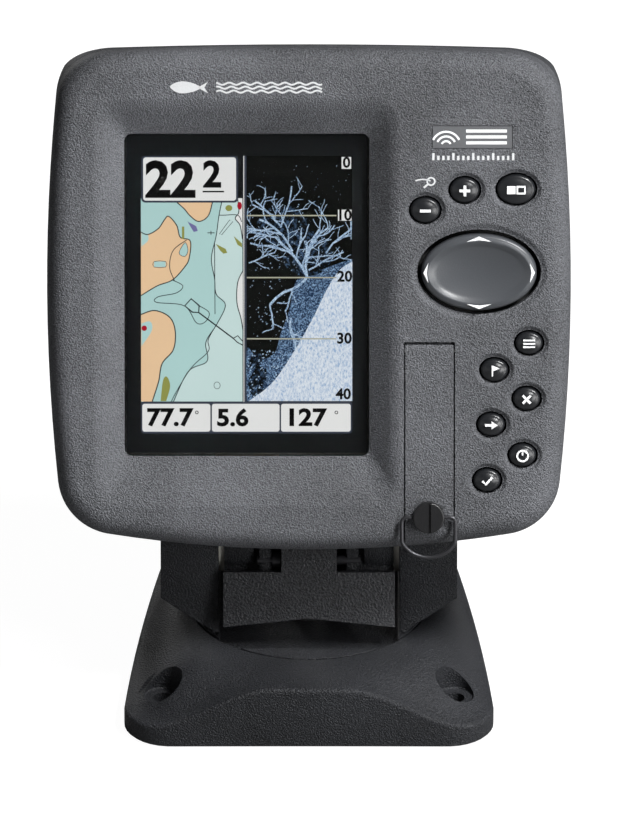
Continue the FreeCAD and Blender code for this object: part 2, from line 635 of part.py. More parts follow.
def card_socket():
    housing = block("socket_block", "door_left + 1.8", "door_right - 1.8", "door_top - 36.8", "door_top - 5.7",
                    "4.9", "bezel_depth - 2.7")
    slots = [block("card_slot_%d" % n, "%s - 1.1" % across, "%s + 1.1" % across, "door_top - 34",
                   "door_top - 9",
                   "4", "bezel_depth - 4.5")
             for n, across in enumerate(["(door_left + door_right) / 2 - 2",
                                         "(door_left + door_right) / 2 + 2"])]
    place_on_head(cut("card_socket", housing, *slots))
    frame = block("gasket_outer", "door_left + 0.6", "door_right - 0.6", "door_top - 38", "door_top - 4.9",
                  "door_thick + 0.3", "2 * hinge_radius + door_gap")
    inner = block("gasket_inner", "door_left + 1.5", "door_right - 1.5", "door_top - 37", "door_top - 5.6",
                  "door_thick", "2 * hinge_radius + door_gap + 1")
    place_on_head(cut("card_door_seal", frame, inner))


def door_knob():
    """Quarter-turn knob: slotted disc in front, stem through the door, oblong foot behind it."""
    back = "-knob_lift"
    disc = rod("knob_disc", "knob_across", "knob_up", "knob_radius", "-knob_lift - knob_thick", back)
    dress(disc, "Fillet", lies_at_depth(-SIZES["knob_lift"] - SIZES["knob_thick"]), "0.4")
    stem = rod("knob_stem", "knob_across", "knob_up", "stem_radius", "-knob_lift - 0.1", "foot_front + 0.2")
    foot = oval_up("knob_foot", "foot_wide", "foot_tall", "foot_front", "foot_back")
    slot = block("coin_slot", "knob_across - 0.55", "knob_across + 0.55", "knob_up - 5", "knob_up + 5",
                 "-knob_lift - knob_thick - 1", "-knob_lift - knob_thick + 0.55")
    wire_way = cross_bar("wire_way", "-knob_lift - knob_thick / 2 + 0.1", "knob_up", "wire_radius + fit_gap",
                         "knob_across - 6", "knob_across + 6")
    solid = fuse("knob_solid", [disc, stem, foot])
    place_on_head(cut("door_knob", solid, slot, wire_way))


def pull_ring():
    """D-shaped wire: a straight bar through the knob, two sides and a shallow bow below."""
    names = ("knob_across", "knob_up", "ring_wide", "ring_drop", "ring_bow", "ring_corner",
             "ring_low_corner", "wire_radius")
    across, level, wide, drop, bow, corner, low_corner, wire = [number(name) for name in names]
    depth = number("-knob_lift - knob_thick / 2 + 0.1")
    half = wide / 2
    bow_level = bow - drop
    blend_level = bow_level - math.sqrt((bow - low_corner) ** 2 - (half - low_corner) ** 2)
    lean = math.atan2(blend_level - bow_level, half - low_corner)

    def at(right, up):
        return Vector(across + right, depth, level + up)

    def arc(right, up, radius, first, last):
        turns = [first + (last - first) * step / 2 for step in range(3)]
        return Part.Arc(*[at(right + radius * math.cos(turn), up + radius * math.sin(turn)) for turn in turns])

    quarter = math.pi / 2
    path = [Part.LineSegment(at(0, 0), at(half - corner, 0)),
            arc(half - corner, -corner, corner, quarter, 0),
            Part.LineSegment(at(half, -corner), at(half, blend_level)),
            arc(half - low_corner, blend_level, low_corner, 0, lean),
            arc(0, bow_level, bow, lean, -2 * quarter - lean),
            arc(low_corner - half, blend_level, low_corner, -2 * quarter - lean, -2 * quarter),
            Part.LineSegment(at(-half, blend_level), at(-half, -corner)),
            arc(corner - half, -corner, corner, 2 * quarter, quarter),
            Part.LineSegment(at(corner - half, 0), at(0, 0))]
    wire_path = Part.Wire([curve.toShape() for curve in path])
    section = Part.Wire(Part.makeCircle(wire, at(0, 0), Vector(1, 0, 0)))
    ring = doc.addObject("Part::Feature", "pull_ring")
    ring.Shape = wire_path.makePipeShell([section], True, False)
    place_on_head(ring)


# ---------------------------------------------------------------- tilt carrier and latch

def tilt_carrier():
    """Two round cheeks on the pivots, a platform under the head and the tongue that enters it."""
    cheeks = [cross_bar("cheek_left", "pivot_behind", "-pivot_below", "boss_round", "-carrier_half",
                        "-cheek_inner"),
              cross_bar("cheek_right", "pivot_behind", "-pivot_below", "boss_round", "cheek_inner",
                        "carrier_half")]
    webs = [block("web_left", "-carrier_half", "-cheek_inner", "-pivot_below", "platform_level - 1", "27.5",
                  "46"),
            block("web_right", "cheek_inner", "carrier_half", "-pivot_below", "platform_level - 1", "27.5",
                  "46")]
    platform = block("platform", "-carrier_half", "carrier_half", "platform_level - 3.5", "platform_level",
                     "tongue_front - 0.2", "46")
    apron = block("apron", "-carrier_half", "carrier_half", "-84", "platform_level - 1", "28.4", "31")
    tongue = block("tongue", "-tongue_wide / 2", "tongue_wide / 2", "platform_level - 1", "tongue_top",
                   "tongue_front", "tongue_back")
    dress(tongue, "Fillet", runs_up, "3")
    ears = [block("ear_left", "-12.5", "-9.5", "-74", "platform_level - 1", "24.8", "29"),
            block("ear_right", "9.5", "12.5", "-74", "platform_level - 1", "24.8", "29")]
    solid = fuse("carrier_solid", cheeks + webs + [platform, apron, tongue] + ears)
    tools = [cross_bar("pivot_thread", "pivot_behind", "-pivot_below", "pivot_radius + fit_gap",
                       "-carrier_half - 1",
                       "carrier_half + 1"),
             cross_bar("latch_pin_way", "latch_pin_depth", "latch_pin_level", "latch_pin_radius + fit_gap",
                       "-latch_pin_half - 1", "latch_pin_half + 1"),
             block("insert_way", "-3 * pin_pitch - 1.8", "3 * pin_pitch + 1.8", "tongue_top - 14",
                   "tongue_top + 1",
                   "contact_depth - 3.2", "contact_depth + 3.2")]
    place_on_head(cut("tilt_carrier", solid, *tools))


def connectors():
    insert = block("insert_block", "-3 * pin_pitch - 1.7", "3 * pin_pitch + 1.7", "tongue_top - 13.9",
                   "tongue_top - 0.2", "contact_depth - 3.1", "contact_depth + 3.1")
    wells = [column("contact_well_%d" % n, "%s * pin_pitch" % place, "contact_depth",
                    "contact_radius + 0.2", "tongue_top - contact_reach - 1", "tongue_top + 1")
             for n, place in enumerate(CONTACTS)]
    place_on_head(cut("contact_insert", insert, *wells))
    housing = block("holder_block", "-13.8", "13.8", "-69", "platform_level - 3.6", "33", "47.5")
    socket = block("holder_socket", "-11.5", "11.5", "-67", "platform_level - 5.6", "35.5", "50")
    blades = [block("holder_blade_%d" % n, "%s - 0.4" % across, "%s + 0.4" % across, "-63.3", "-61.7",
                    "35.3", "38") for n, across in enumerate(["-9", "-6", "6", "9"])]
    place_on_head(fuse("connector_holder", [cut("holder_shell", housing, socket)] + blades))


def latch():
    """Press panel with an arched lower edge, its pin knuckles and the neck that reaches the head."""
    body = new_body("latch_panel")
    sketch = sketch_on(body, "XZ", "latch_front")
    draw_outline(sketch, [("-latch_half", "latch_low"), ("0", "latch_low + latch_arch"),
                          ("latch_half", "latch_low"), ("latch_half", "latch_high"),
                          ("-latch_half", "latch_high")])
    deepen(body, sketch, "latch_front", "latch_front + latch_thick")
    neck = block("latch_stem", "-latch_neck", "latch_neck", "latch_high - 1", "latch_top", "latch_front",
                 "latch_front + latch_thick")
    knuckle = cross_bar("latch_knuckle", "latch_pin_depth", "latch_pin_level", "2.2", "-latch_neck",
                        "latch_neck")
    bridge = block("latch_bridge", "-latch_neck", "latch_neck", "latch_pin_level - 1.5",
                   "latch_pin_level + 1.5", "latch_front + latch_thick - 0.2", "latch_pin_depth")
    bore = cross_bar("latch_bore", "latch_pin_depth", "latch_pin_level", "latch_pin_radius + fit_gap",
                     "-latch_neck - 1", "latch_neck + 1")
    place_on_head(cut("release_latch", fuse("latch_solid", [body, neck, knuckle, bridge]), bore))
    place_on_head(cross_bar("latch_pin", "latch_pin_depth", "latch_pin_level", "latch_pin_radius",
                            "-latch_pin_half", "latch_pin_half"))
    coil = cross_bar("spring_outer", "latch_pin_depth", "latch_pin_level", "1.9", "-latch_neck - 2.2",
                     "-latch_neck - 0.3")
    bore = cross_bar("spring_inner", "latch_pin_depth", "latch_pin_level", "latch_pin_radius + 0.2",
                     "-latch_neck - 3", "-latch_neck")
    place_on_head(cut("latch_spring", coil, bore))


def pivots():
    screws = []
    washers = []
    for word, side in (("left", -1), ("right", 1)):
        ends = ["%d * (cheek_inner + 1)" % side, "%d * (arm_outer - head_sink + 0.3)" % side]
        ends.sort(key=number)
        head_ends = ["%d * (arm_outer - head_sink + 0.1)" % side, "%d * (arm_outer - 0.3)" % side]
        head_ends.sort(key=number)
        shank = cross_bar("pivot_shank_" + word, "pivot_behind", "-pivot_below", "pivot_radius", *ends)
        cap = cross_bar("pivot_head_" + word, "pivot_behind", "-pivot_below", "2 * pivot_radius", *head_ends)
        screws.append(fuse("pivot_screw_" + word, [shank, cap]))
        ring_ends = ["%d * (carrier_half + 0.02)" % side, "%d * (arm_inner - 0.1)" % side]
        ring_ends.sort(key=number)
        ring = cross_bar("washer_" + word, "pivot_behind", "-pivot_below", "boss_round - 1", *ring_ends)
        hole = cross_bar("washer_hole_" + word, "pivot_behind", "-pivot_below", "pivot_radius + 0.1",
                         "-arm_outer", "arm_outer")
        washers.append(cut("friction_washer_" + word, ring, hole))
    place_on_head(group("pivot_screws", screws))
    place_on_head(group("friction_washers", washers))


# ---------------------------------------------------------------- swivel and base

def swivel_yoke():
    """Turning disc with two arms whose feet flare out of it as a cone."""
    disc = column("yoke_disc", "0", "0", "disc_radius - disc_gap", "disc_seat + fit_gap", "base_top")
    arms = []
    for word, left, right in (("left", "-arm_outer", "-arm_inner"), ("right", "arm_inner", "arm_outer")):
        arm = slab("arm_" + word, left, right, [("-arm_foot", "disc_seat + 1"), ("arm_foot", "disc_seat + 1"),
                                                ("arm_round", "pivot_height"), ("-arm_round", "pivot_height")])
        crown = cross_bar("arm_crown_" + word, "0", "pivot_height", "arm_round", left, right)
        arms += [arm, crown]
    flare = new_body("arm_flare")
    sketch = sketch_on(flare, "XZ", "0")
    reach = "sqrt(arm_outer ^ 2 + arm_foot ^ 2) + 3"
    draw_outline(sketch, [("0", "disc_seat"), ("disc_radius - disc_gap - 0.6", "disc_seat"),
                          ("disc_radius - disc_gap - 0.6", "base_top + 0.5"), (reach, "base_top + 12"),
                          (reach, "pivot_height + 20"), ("0", "pivot_height + 20")])
    turned = flare.newObject("PartDesign::Revolution", "arm_flare_turned")
    turned.Profile = sketch
    turned.ReferenceAxis = (sketch, ["V_Axis"])
    turned.Angle = 360
    doc.recompute()
    arms_trimmed = common("arms_trimmed", fuse("arm_blanks", arms), flare)
    solid = fuse("yoke_solid", [disc, arms_trimmed])
    trough = new_body("trough")
    sketch = sketch_on(trough, "XY", "trough_level")
    draw_rectangle(sketch, "-arm_inner + 0.3", "arm_inner - 0.3", "-24.5", "24.5")
    extrude(trough, sketch, "10")
    bores = [column("bolt_way", "0", "0", "bolt_radius + fit_gap", "disc_seat - 1", "base_top + 1"),
             cross_bar("pivot_way", "0", "pivot_height", "pivot_radius + fit_gap", "-arm_outer - 1",
                       "arm_outer + 1"),
             cross_bar("head_way_left", "0", "pivot_height", "2 * pivot_radius + 0.3", "-arm_outer - 1",
                       "head_sink - arm_outer"),
             cross_bar("head_way_right", "0", "pivot_height", "2 * pivot_radius + 0.3",
                       "arm_outer - head_sink", "arm_outer + 1")]
    keep(cut("swivel_yoke", solid, trough, *bores))


def plan_outline(level, name, inset="0"):
    body = new_body(name)
    sketch = sketch_on(body, "XY", level)
    draw_outline(sketch, [("-(base_half_front - %s)" % inset, "-(base_front - %s)" % inset),
                          ("base_half_front - %s" % inset, "-(base_front - %s)" % inset),
                          ("base_half_back - %s" % inset, "base_back - %s" % inset),
                          ("-(base_half_back - %s)" % inset, "base_back - %s" % inset)],
                 {1: "base_bow", 3: "base_bow"})
    return body, sketch


def base_mound(name, inset, foot):
    """Low plate that rises to a flat crest: full width in front, round behind the swivel disc."""
    body, sketch = plan_outline(foot, name + "_plate", inset)
    extrude(body, sketch, "base_edge - %s - (%s)" % (inset, foot))
    dress(body, "Fillet", runs_up, "base_corner - " + inset)
    crest = new_body(name + "_crest")
    low = sketch_on(crest, "XY", "base_edge - %s" % inset)
    front, back = "-(base_front - %s)" % inset, "base_back - %s" % inset
    draw_outline(low, [("-crest_half * 2.2", front), ("crest_half * 2.2", front),
                       ("base_half_front - 2 - %s" % inset, "-base_front / 2"),
                       ("base_half_back + 2 - %s" % inset, "base_back / 3"),
                       ("base_half_back - 10", back), ("10 - base_half_back", back),
                       ("-(base_half_back + 2 - %s)" % inset, "base_back / 3"),
                       ("-(base_half_front - 2 - %s)" % inset, "-base_front / 2")])
    high = sketch_on(crest, "XY", "base_top - %s" % inset)
    draw_outline(high, [("-crest_half", front), ("crest_half", front),
                        ("plateau - %s" % inset, "-base_front / 4"), ("plateau - %s" % inset, "base_back / 4"),
                        ("plateau * 0.6", "plateau * 0.9"), ("-plateau * 0.6", "plateau * 0.9"),
                        ("-(plateau - %s)" % inset, "base_back / 4"),
                        ("-(plateau - %s)" % inset, "-base_front / 4")])
    loft = crest.newObject("PartDesign::AdditiveLoft", name + "_loft")
    loft.Profile = low
    loft.Sections = [high]
    loft.Ruled = True
    doc.recompute()
    return fuse(name, [body, crest])


def mounting_base():
    outer = base_mound("base_outer", "0", "0")
    inner = base_mound("base_inner", "base_wall", "-1")
    spots = [("-mount_front_across", "-mount_front"), ("mount_front_across", "-mount_front"),
             ("-mount_back_across", "mount_back"), ("mount_back_across", "mount_back")]
    wells = [column("screw_post_%d" % n, across, along, "mount_recess + 2", "-2", "base_top")
             for n, (across, along) in enumerate(spots)]
    hub = column("disc_hub", "0", "0", "disc_radius + base_wall", "disc_seat - base_wall", "base_top")
    hollow = cut("base_hollow", inner, hub, *wells)
    shell = cut("base_shell", outer, hollow)
    tools = [column("disc_pocket", "0", "0", "disc_radius", "disc_seat", "base_top + 5"),
             column("base_bolt_way", "0", "0", "bolt_radius + fit_gap", "0", "disc_seat + 1")]
    for n, (across, along) in enumerate(spots):
        tools.append(column("screw_well_%d" % n, across, along, "mount_recess", "mount_floor", "base_top + 5"))
        tools.append(column("screw_hole_%d" % n, across, along, "mount_hole", "-1", "mount_floor + 1"))
    keep(cut("mounting_base", shell, *tools))


def swivel_bolt():
    """Hexagon bolt up through the base and the disc, with its washers and nut."""
    web = "disc_seat - base_wall"
    keep(washer("thrust_washer", "7.5", web + " - 1.6", web))
    hexagon = hex_prism("bolt_head", "6.5", web + " - 6.1", web + " - 1.6")
    shank = column("bolt_shank", "0", "0", "bolt_radius", web + " - 2", "trough_level + 6.5")
    keep(fuse("swivel_bolt", [hexagon, shank]))
    keep(washer("spring_washer", "6", "trough_level", "trough_level + 1.4"))
    nut = hex_prism("nut_blank", "6", "trough_level + 1.4", "trough_level + 5.4")
    way = column("nut_way", "0", "0", "bolt_radius + 0.02", "trough_level", "trough_level + 8")
    keep(cut("swivel_nut", nut, way))


def washer(name, radius, low, high):
    return cut(name, column(name + "_disc", "0", "0", radius, low, high),
               column(name + "_hole", "0", "0", "bolt_radius + fit_gap", low + " - 1", high + " + 1"))


def hex_prism(name, half_flats, low, high):
    body = new_body(name)
    sketch = sketch_on(body, "XY", low)
    reach = half_flats + " / cos(30 * 1 deg)"
    draw_outline(sketch, [("%s * cos(%d * 1 deg)" % (reach, turn), "%s * sin(%d * 1 deg)" % (reach, turn))
                          for turn in range(0, 360, 60)])
    extrude(body, sketch, "(%s) - (%s)" % (high, low))
    return body


# ---------------------------------------------------------------- build and write

def build():
    front_bezel()
    rear_cover()
    case_seal()
    case_screws()
    display()
    electronics()
    keypad()
    direction_pad()
    badge()
    card_door()
    card_socket()
    door_knob()
    pull_ring()
    tilt_carrier()
    connectors()
    latch()
    pivots()
    swivel_yoke()
    mounting_base()
    swivel_bolt()
    doc.recompute()


def write():
    for thing in doc.Objects:
        if {"Invalid", "Error"} & set(thing.State):
            raise RuntimeError("%s failed to rebuild" % thing.Label)
    os.makedirs("parts", exist_ok=True)
    for node in NODES:
        shape = node.Shape
        if shape.isNull() or not shape.isValid() or not shape.Solids:
            raise RuntimeError("%s has no sound shape" % node.Label)
        shape.exportStep(os.path.join("parts", node.Label + ".step"))
        print("%-18s %9.1f mm3  %d solid(s)" % (node.Label, shape.Volume, len(shape.Solids)))


build()
write()
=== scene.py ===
import json
import math
import random

import bmesh
import bpy
from mathutils import Matrix, Vector
from mathutils.bvhtree import BVHTree


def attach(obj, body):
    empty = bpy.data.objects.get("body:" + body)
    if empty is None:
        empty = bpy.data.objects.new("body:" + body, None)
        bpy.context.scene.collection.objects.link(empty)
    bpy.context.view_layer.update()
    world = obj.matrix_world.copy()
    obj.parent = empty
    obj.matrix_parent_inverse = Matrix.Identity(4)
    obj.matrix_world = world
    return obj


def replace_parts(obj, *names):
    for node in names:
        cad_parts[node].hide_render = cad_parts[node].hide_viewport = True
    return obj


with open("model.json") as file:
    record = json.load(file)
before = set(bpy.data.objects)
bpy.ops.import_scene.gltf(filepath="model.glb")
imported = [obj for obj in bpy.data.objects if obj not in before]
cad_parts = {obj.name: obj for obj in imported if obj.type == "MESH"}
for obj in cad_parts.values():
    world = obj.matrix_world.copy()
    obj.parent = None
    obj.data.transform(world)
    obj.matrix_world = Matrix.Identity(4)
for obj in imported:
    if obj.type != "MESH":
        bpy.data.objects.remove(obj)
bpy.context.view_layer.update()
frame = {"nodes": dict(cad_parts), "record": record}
nodes = frame["nodes"]
joints = {joint["name"]: joint for joint in frame["record"]["behaviour"]["joints"]}
MM = 0.001

# ------------------------------------------------------------------ the head's own frame
# x runs across the face, y is the depth into the case and z runs up the face, in millimetres,
# from the middle of the face. The frame leans back about the tilt pivot.
PIVOT_BEHIND = 36.5
PIVOT_BELOW = 66.5
lift_axis = joints["head_lift"]["axis"]
LEAN = math.atan2(lift_axis[1], lift_axis[2])
turn = Matrix.Rotation(-LEAN, 4, "X")
pivot = Vector(joints["tilt"]["pos_m"])
face_to_pivot = turn @ (Vector((0, PIVOT_BEHIND, -PIVOT_BELOW)) * MM)
HEAD = Matrix.Translation(pivot - face_to_pivot) @ turn @ Matrix.Scale(MM, 4)

SCREEN = Vector((-15.7, 0, 0.05))


# ------------------------------------------------------------------ mesh helpers

def add_piece(name, mesh, body, material, place=HEAD):
    """Put a mesh drawn in a local frame into the row frame and let it ride on a body."""
    mesh.transform(place)
    piece = bpy.data.objects.new(name, mesh)
    bpy.context.scene.collection.objects.link(piece)
    piece.data.materials.append(material)
    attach(piece, body)
    return piece


def mesh_from(name, points, faces, smooth=True):
    """A closed mesh whose faces all look outwards."""
    mesh = bpy.data.meshes.new(name)
    mesh.from_pydata([tuple(point) for point in points], [], faces)
    shape = bmesh.new()
    shape.from_mesh(mesh)
    bmesh.ops.remove_doubles(shape, verts=shape.verts, dist=1e-5)
    bmesh.ops.recalc_face_normals(shape, faces=shape.faces)
    shape.to_mesh(mesh)
    shape.free()
    for face in mesh.polygons:
        face.use_smooth = smooth
    return mesh


def ring_faces(rings, count):
    """Quads between rings that have the same count of points."""
    faces = []
    for ring in range(rings - 1):
        for step in range(count):
            here, there = ring * count + step, ring * count + (step + 1) % count
            faces.append((here, there, there + count, here + count))
    return faces


def capped_faces(rings, count):
    """The same quads with a face over each end."""
    return ring_faces(rings, count) + [tuple(range(count)), tuple(range((rings - 1) * count, rings * count))]


def oval_rings(name, centre, rings, segments=64):
    """A solid of oval rings, each given as half width, half height and depth."""
    points = []
    for half_wide, half_tall, depth in rings:
        for step in range(segments):
            angle = 2 * math.pi * step / segments
            points.append((centre[0] + half_wide * math.cos(angle), depth,
                           centre[1] + half_tall * math.sin(angle)))
    return mesh_from(name, points, capped_faces(len(rings), segments))


def plate(name, outline, front, back):
    """A flat plate with an (across, up) outline between two depths."""
    count = len(outline)
    points = [(x, front, z) for x, z in outline] + [(x, back, z) for x, z in outline]
    faces = [tuple(range(count)), tuple(range(count, 2 * count))]
    faces += [(i, (i + 1) % count, (i + 1) % count + count, i + count) for i in range(count)]
    return mesh_from(name, points, faces, smooth=False)


def joined(name, meshes):
    """One mesh made of several."""
    shape = bmesh.new()
    for mesh in meshes:
        shape.from_mesh(mesh)
        bpy.data.meshes.remove(mesh)
    result = bpy.data.meshes.new(name)
    shape.to_mesh(result)
    shape.free()
    return result


def ribbon(line, width, closed=False):
    """The outline of a line of even width through the given points."""
    points = [Vector(point) for point in line]
    left, right = [], []
    for i, point in enumerate(points):
        before = points[i - 1] if i or closed else point
        after = points[(i + 1) % len(points)] if i + 1 < len(points) or closed else point
        along = (after - before).normalized()
        side = Vector((-along.y, along.x)) * width / 2
        left.append(point + side)
        right.append(point - side)
    return left, right


def stroke(name, line, width, front, back, closed=False):
    """A thin raised line, as a closed strip of quads."""
    left, right = ribbon(line, width, closed)
    count = len(left)
    points = []
    for depth in (front, back):
        points += [(p.x, depth, p.y) for p in left] + [(p.x, depth, p.y) for p in right]
    faces = []
    for i in range(count if closed else count - 1):
        j = (i + 1) % count
        a, b, c, d = i, j, count + j, count + i
        faces += [(a, b, c, d), (a + 2 * count, b + 2 * count, c + 2 * count, d + 2 * count),
                  (a, b, b + 2 * count, a + 2 * count), (d, c, c + 2 * count, d + 2 * count)]
    if not closed:
        for i in (0, count - 1):
            faces.append((i, i + count, i + 3 * count, i + 2 * count))
    return mesh_from(name, points, faces, smooth=False)


def smooth_line(points, closed=False, steps=8):
    """A Catmull-Rom curve through the points."""
    knots = [Vector(point) for point in points]
    count = len(knots)
    spans = count if closed else count - 1
    line = []
    for i in range(spans):
        p0 = knots[(i - 1) % count] if closed or i else knots[0]
        p1, p2 = knots[i], knots[(i + 1) % count]
        p3 = knots[(i + 2) % count] if closed or i + 2 < count else knots[-1]
        for step in range(steps):
            t = step / steps
            line.append(0.5 * ((2 * p1) + (p2 - p0) * t + (2 * p0 - 5 * p1 + 4 * p2 - p3) * t ** 2
                               + (3 * p1 - p0 - 3 * p2 + p3) * t ** 3))
    if not closed:
        line.append(knots[-1])
    return line


def rounded_box(left, right, low, high, radius, steps=6):
    outline = []
    for cx, cz, first in ((right - radius, low + radius, -90), (right - radius, high - radius, 0),
                          (left + radius, high - radius, 90), (left + radius, low + radius, 180)):
        for step in range(steps + 1):
            angle = math.radians(first + 90 * step / steps)
            outline.append((cx + radius * math.cos(angle), cz + radius * math.sin(angle)))
    return outline


def ring_line(centre, half_wide, half_tall, first=0, last=360, steps=32):
    line = []
    for step in range(steps + 1):
        angle = math.radians(first + (last - first) * step / steps)
        line.append((centre[0] + half_wide * math.cos(angle), centre[1] + half_tall * math.sin(angle)))
    return line


def digits(name, words, left, low, tall, front, back, bold=0.0, squeeze=1.0):
    """Printed figures, as tall as the given height, set from the left."""
    text = bpy.data.curves.new(name, "FONT")
    text.body = words
    text.size = 1.0
    text.offset = bold
    text.resolution_u = 3
    text.extrude = 0.5
    holder = bpy.data.objects.new(name, text)
    bpy.context.scene.collection.objects.link(holder)
    depsgraph = bpy.context.evaluated_depsgraph_get()
    mesh = bpy.data.meshes.new_from_object(holder.evaluated_get(depsgraph))
    bpy.data.objects.remove(holder)
    bpy.data.curves.remove(text)
    xs = [v.co.x for v in mesh.vertices]
    ys = [v.co.y for v in mesh.vertices]
    scale = tall / (max(ys) - min(ys))
    for vertex in mesh.vertices:
        x, y, z = vertex.co
        vertex.co = (left + (x - min(xs)) * scale * squeeze, front if z > 0 else back,
                     low + (y - min(ys)) * scale)
    mesh.materials.clear()
    return mesh


def merged_copy(node):
    """A CAD node's shape with its triangles welded and its flat faces made whole."""
    shape = bmesh.new()
    shape.from_mesh(nodes[node].data)
    bmesh.ops.remove_doubles(shape, verts=shape.verts, dist=2e-6)
    bmesh.ops.dissolve_limit(shape, angle_limit=math.radians(0.5), verts=shape.verts, edges=shape.edges)
    return shape


def skin_mesh(name, shape):
    """A mesh of an edited shape, which is used up."""
    mesh = bpy.data.meshes.new(name)
    shape.to_mesh(mesh)
    shape.free()
    return mesh


def link_mesh(name, mesh):
    piece = bpy.data.objects.new(name, mesh)
    bpy.context.scene.collection.objects.link(piece)
    return piece


def shade(mesh, angle):
    """Smooth shading that breaks at edges sharper than the angle."""
    for face in mesh.polygons:
        face.use_smooth = True
    mesh.set_sharp_from_angle(angle=math.radians(angle))


FLAT_WEIGHT = 90


def keep_flats_flat(piece):
    """Let large flat faces set the normals of the small rounds beside them."""
    weigh = piece.modifiers.new("weighted normals", "WEIGHTED_NORMAL")
    weigh.keep_sharp = True
    weigh.weight = FLAT_WEIGHT


def carved(name, mesh, cutter, operation="DIFFERENCE"):
    """The mesh after a boolean with another closed mesh."""
    base, tool = link_mesh(name, mesh), link_mesh("cutter", cutter)
    step = base.modifiers.new("carve", "BOOLEAN")
    step.operation = operation
    step.solver = "EXACT"
    step.object = tool
    result = bpy.data.meshes.new_from_object(base.evaluated_get(bpy.context.evaluated_depsgraph_get()))
    bpy.data.objects.remove(base)
    bpy.data.objects.remove(tool)
    result.materials.clear()
    result.name = name
    return result


def softened(node, width, body, material, angle=30):
    """A merged copy of a CAD node with rolled edges, which stands for it."""
    mesh = skin_mesh(node + "_skin", merged_copy(node))
    for face in mesh.polygons:
        face.use_smooth = True
    piece = link_mesh(node + "_skin", mesh)
    piece.data.materials.append(material)
    bevel = piece.modifiers.new("rolled edges", "BEVEL")
    bevel.width = width * MM
    bevel.segments = 3
    bevel.limit_method = "ANGLE"
    bevel.angle_limit = math.radians(angle)
    bevel.harden_normals = True
    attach(piece, body)
    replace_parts(piece, node)
    return piece


# ------------------------------------------------------------------ shader groups

def new_material(name):
    """A material with its node tree and its main shader."""
    material = bpy.data.materials.new(name)
    material.use_nodes = True
    return material, material.node_tree, material.node_tree.nodes["Principled BSDF"]


def new_group(name, inputs, outputs):
    group = bpy.data.node_groups.new(name, "ShaderNodeTree")
    for label, kind, value in inputs:
        socket = group.interface.new_socket(label, in_out="INPUT", socket_type=kind)
        socket.default_value = value
    for label, kind in outputs:
        group.interface.new_socket(label, in_out="OUTPUT", socket_type=kind)
    return group, group.nodes.new("NodeGroupInput"), group.nodes.new("NodeGroupOutput")


def spark_grain_group():
    """Spark-eroded mould texture: fine pits, plus the slow drift of tone that moulded plastic has."""
    group, inlet, outlet = new_group("moulded grain", [
        ("Colour", "NodeSocketColor", (0.1, 0.1, 0.1, 1)), ("Grain size", "NodeSocketFloat", 2600.0),
        ("Tone drift", "NodeSocketFloat", 0.08), ("Roughness", "NodeSocketFloat", 0.6),
        ("Depth", "NodeSocketFloat", 0.3)],
        [("Colour", "NodeSocketColor"), ("Roughness", "NodeSocketFloat"), ("Normal", "NodeSocketVector")])
    nodes_, links = group.nodes, group.links
    where = nodes_.new("ShaderNodeTexCoord")
    fine = nodes_.new("ShaderNodeTexNoise")
    fine.inputs["Detail"].default_value = 2.0
    cloud = nodes_.new("ShaderNodeTexNoise")
    cloud.inputs["Scale"].default_value = 30.0
    cloud.inputs["Detail"].default_value = 4.0
    links.new(where.outputs["Object"], fine.inputs["Vector"])
    links.new(where.outputs["Object"], cloud.inputs["Vector"])
    links.new(inlet.outputs["Grain size"], fine.inputs["Scale"])
    bump = nodes_.new("ShaderNodeBump")
    bump.inputs["Distance"].default_value = 0.0005
    links.new(inlet.outputs["Depth"], bump.inputs["Strength"])
    links.new(fine.outputs["Fac"], bump.inputs["Height"])
    links.new(bump.outputs["Normal"], outlet.inputs["Normal"])
    both = nodes_.new("ShaderNodeMath")
    both.operation = "MULTIPLY_ADD"
    links.new(fine.outputs["Fac"], both.inputs[0])
    both.inputs[1].default_value = 1.6
    links.new(cloud.outputs["Fac"], both.inputs[2])
    level = nodes_.new("ShaderNodeMapRange")
    level.inputs["From Min"].default_value = 0.7
    level.inputs["From Max"].default_value = 1.9
    low = nodes_.new("ShaderNodeMath")
    low.operation = "SUBTRACT"
    low.inputs[0].default_value = 1.0
    links.new(inlet.outputs["Tone drift"], low.inputs[1])
    high = nodes_.new("ShaderNodeMath")
    high.operation = "ADD"
    high.inputs[0].default_value = 1.0
    links.new(inlet.outputs["Tone drift"], high.inputs[1])
    links.new(both.outputs[0], level.inputs["Value"])
    links.new(low.outputs[0], level.inputs["To Min"])
    links.new(high.outputs[0], level.inputs["To Max"])
    tint = nodes_.new("ShaderNodeVectorMath")
    tint.operation = "SCALE"
    links.new(inlet.outputs["Colour"], tint.inputs[0])
    links.new(level.outputs["Result"], tint.inputs["Scale"])
    links.new(tint.outputs[0], outlet.inputs["Colour"])
    links.new(inlet.outputs["Roughness"], outlet.inputs["Roughness"])
    return group


GRAIN = spark_grain_group()


def plastic(name, colour, roughness=0.6, grain=2600.0, depth=0.3, drift=0.08, specular=0.5, metallic=0.0):
    """A moulded, rubber or metal surface with its own grain."""
    material, tree, shader = new_material(name)
    grain_node = tree.nodes.new("ShaderNodeGroup")
    grain_node.node_tree = GRAIN
    for label, value in (("Colour", (*colour, 1)), ("Grain size", grain), ("Tone drift", drift),
                         ("Roughness", roughness), ("Depth", depth)):
        grain_node.inputs[label].default_value = value
    for label, socket in (("Colour", "Base Color"), ("Roughness", "Roughness"), ("Normal", "Normal")):
        tree.links.new(grain_node.outputs[label], shader.inputs[socket])
    shader.inputs["Specular IOR Level"].default_value = specular
    shader.inputs["Metallic"].default_value = metallic
    return material


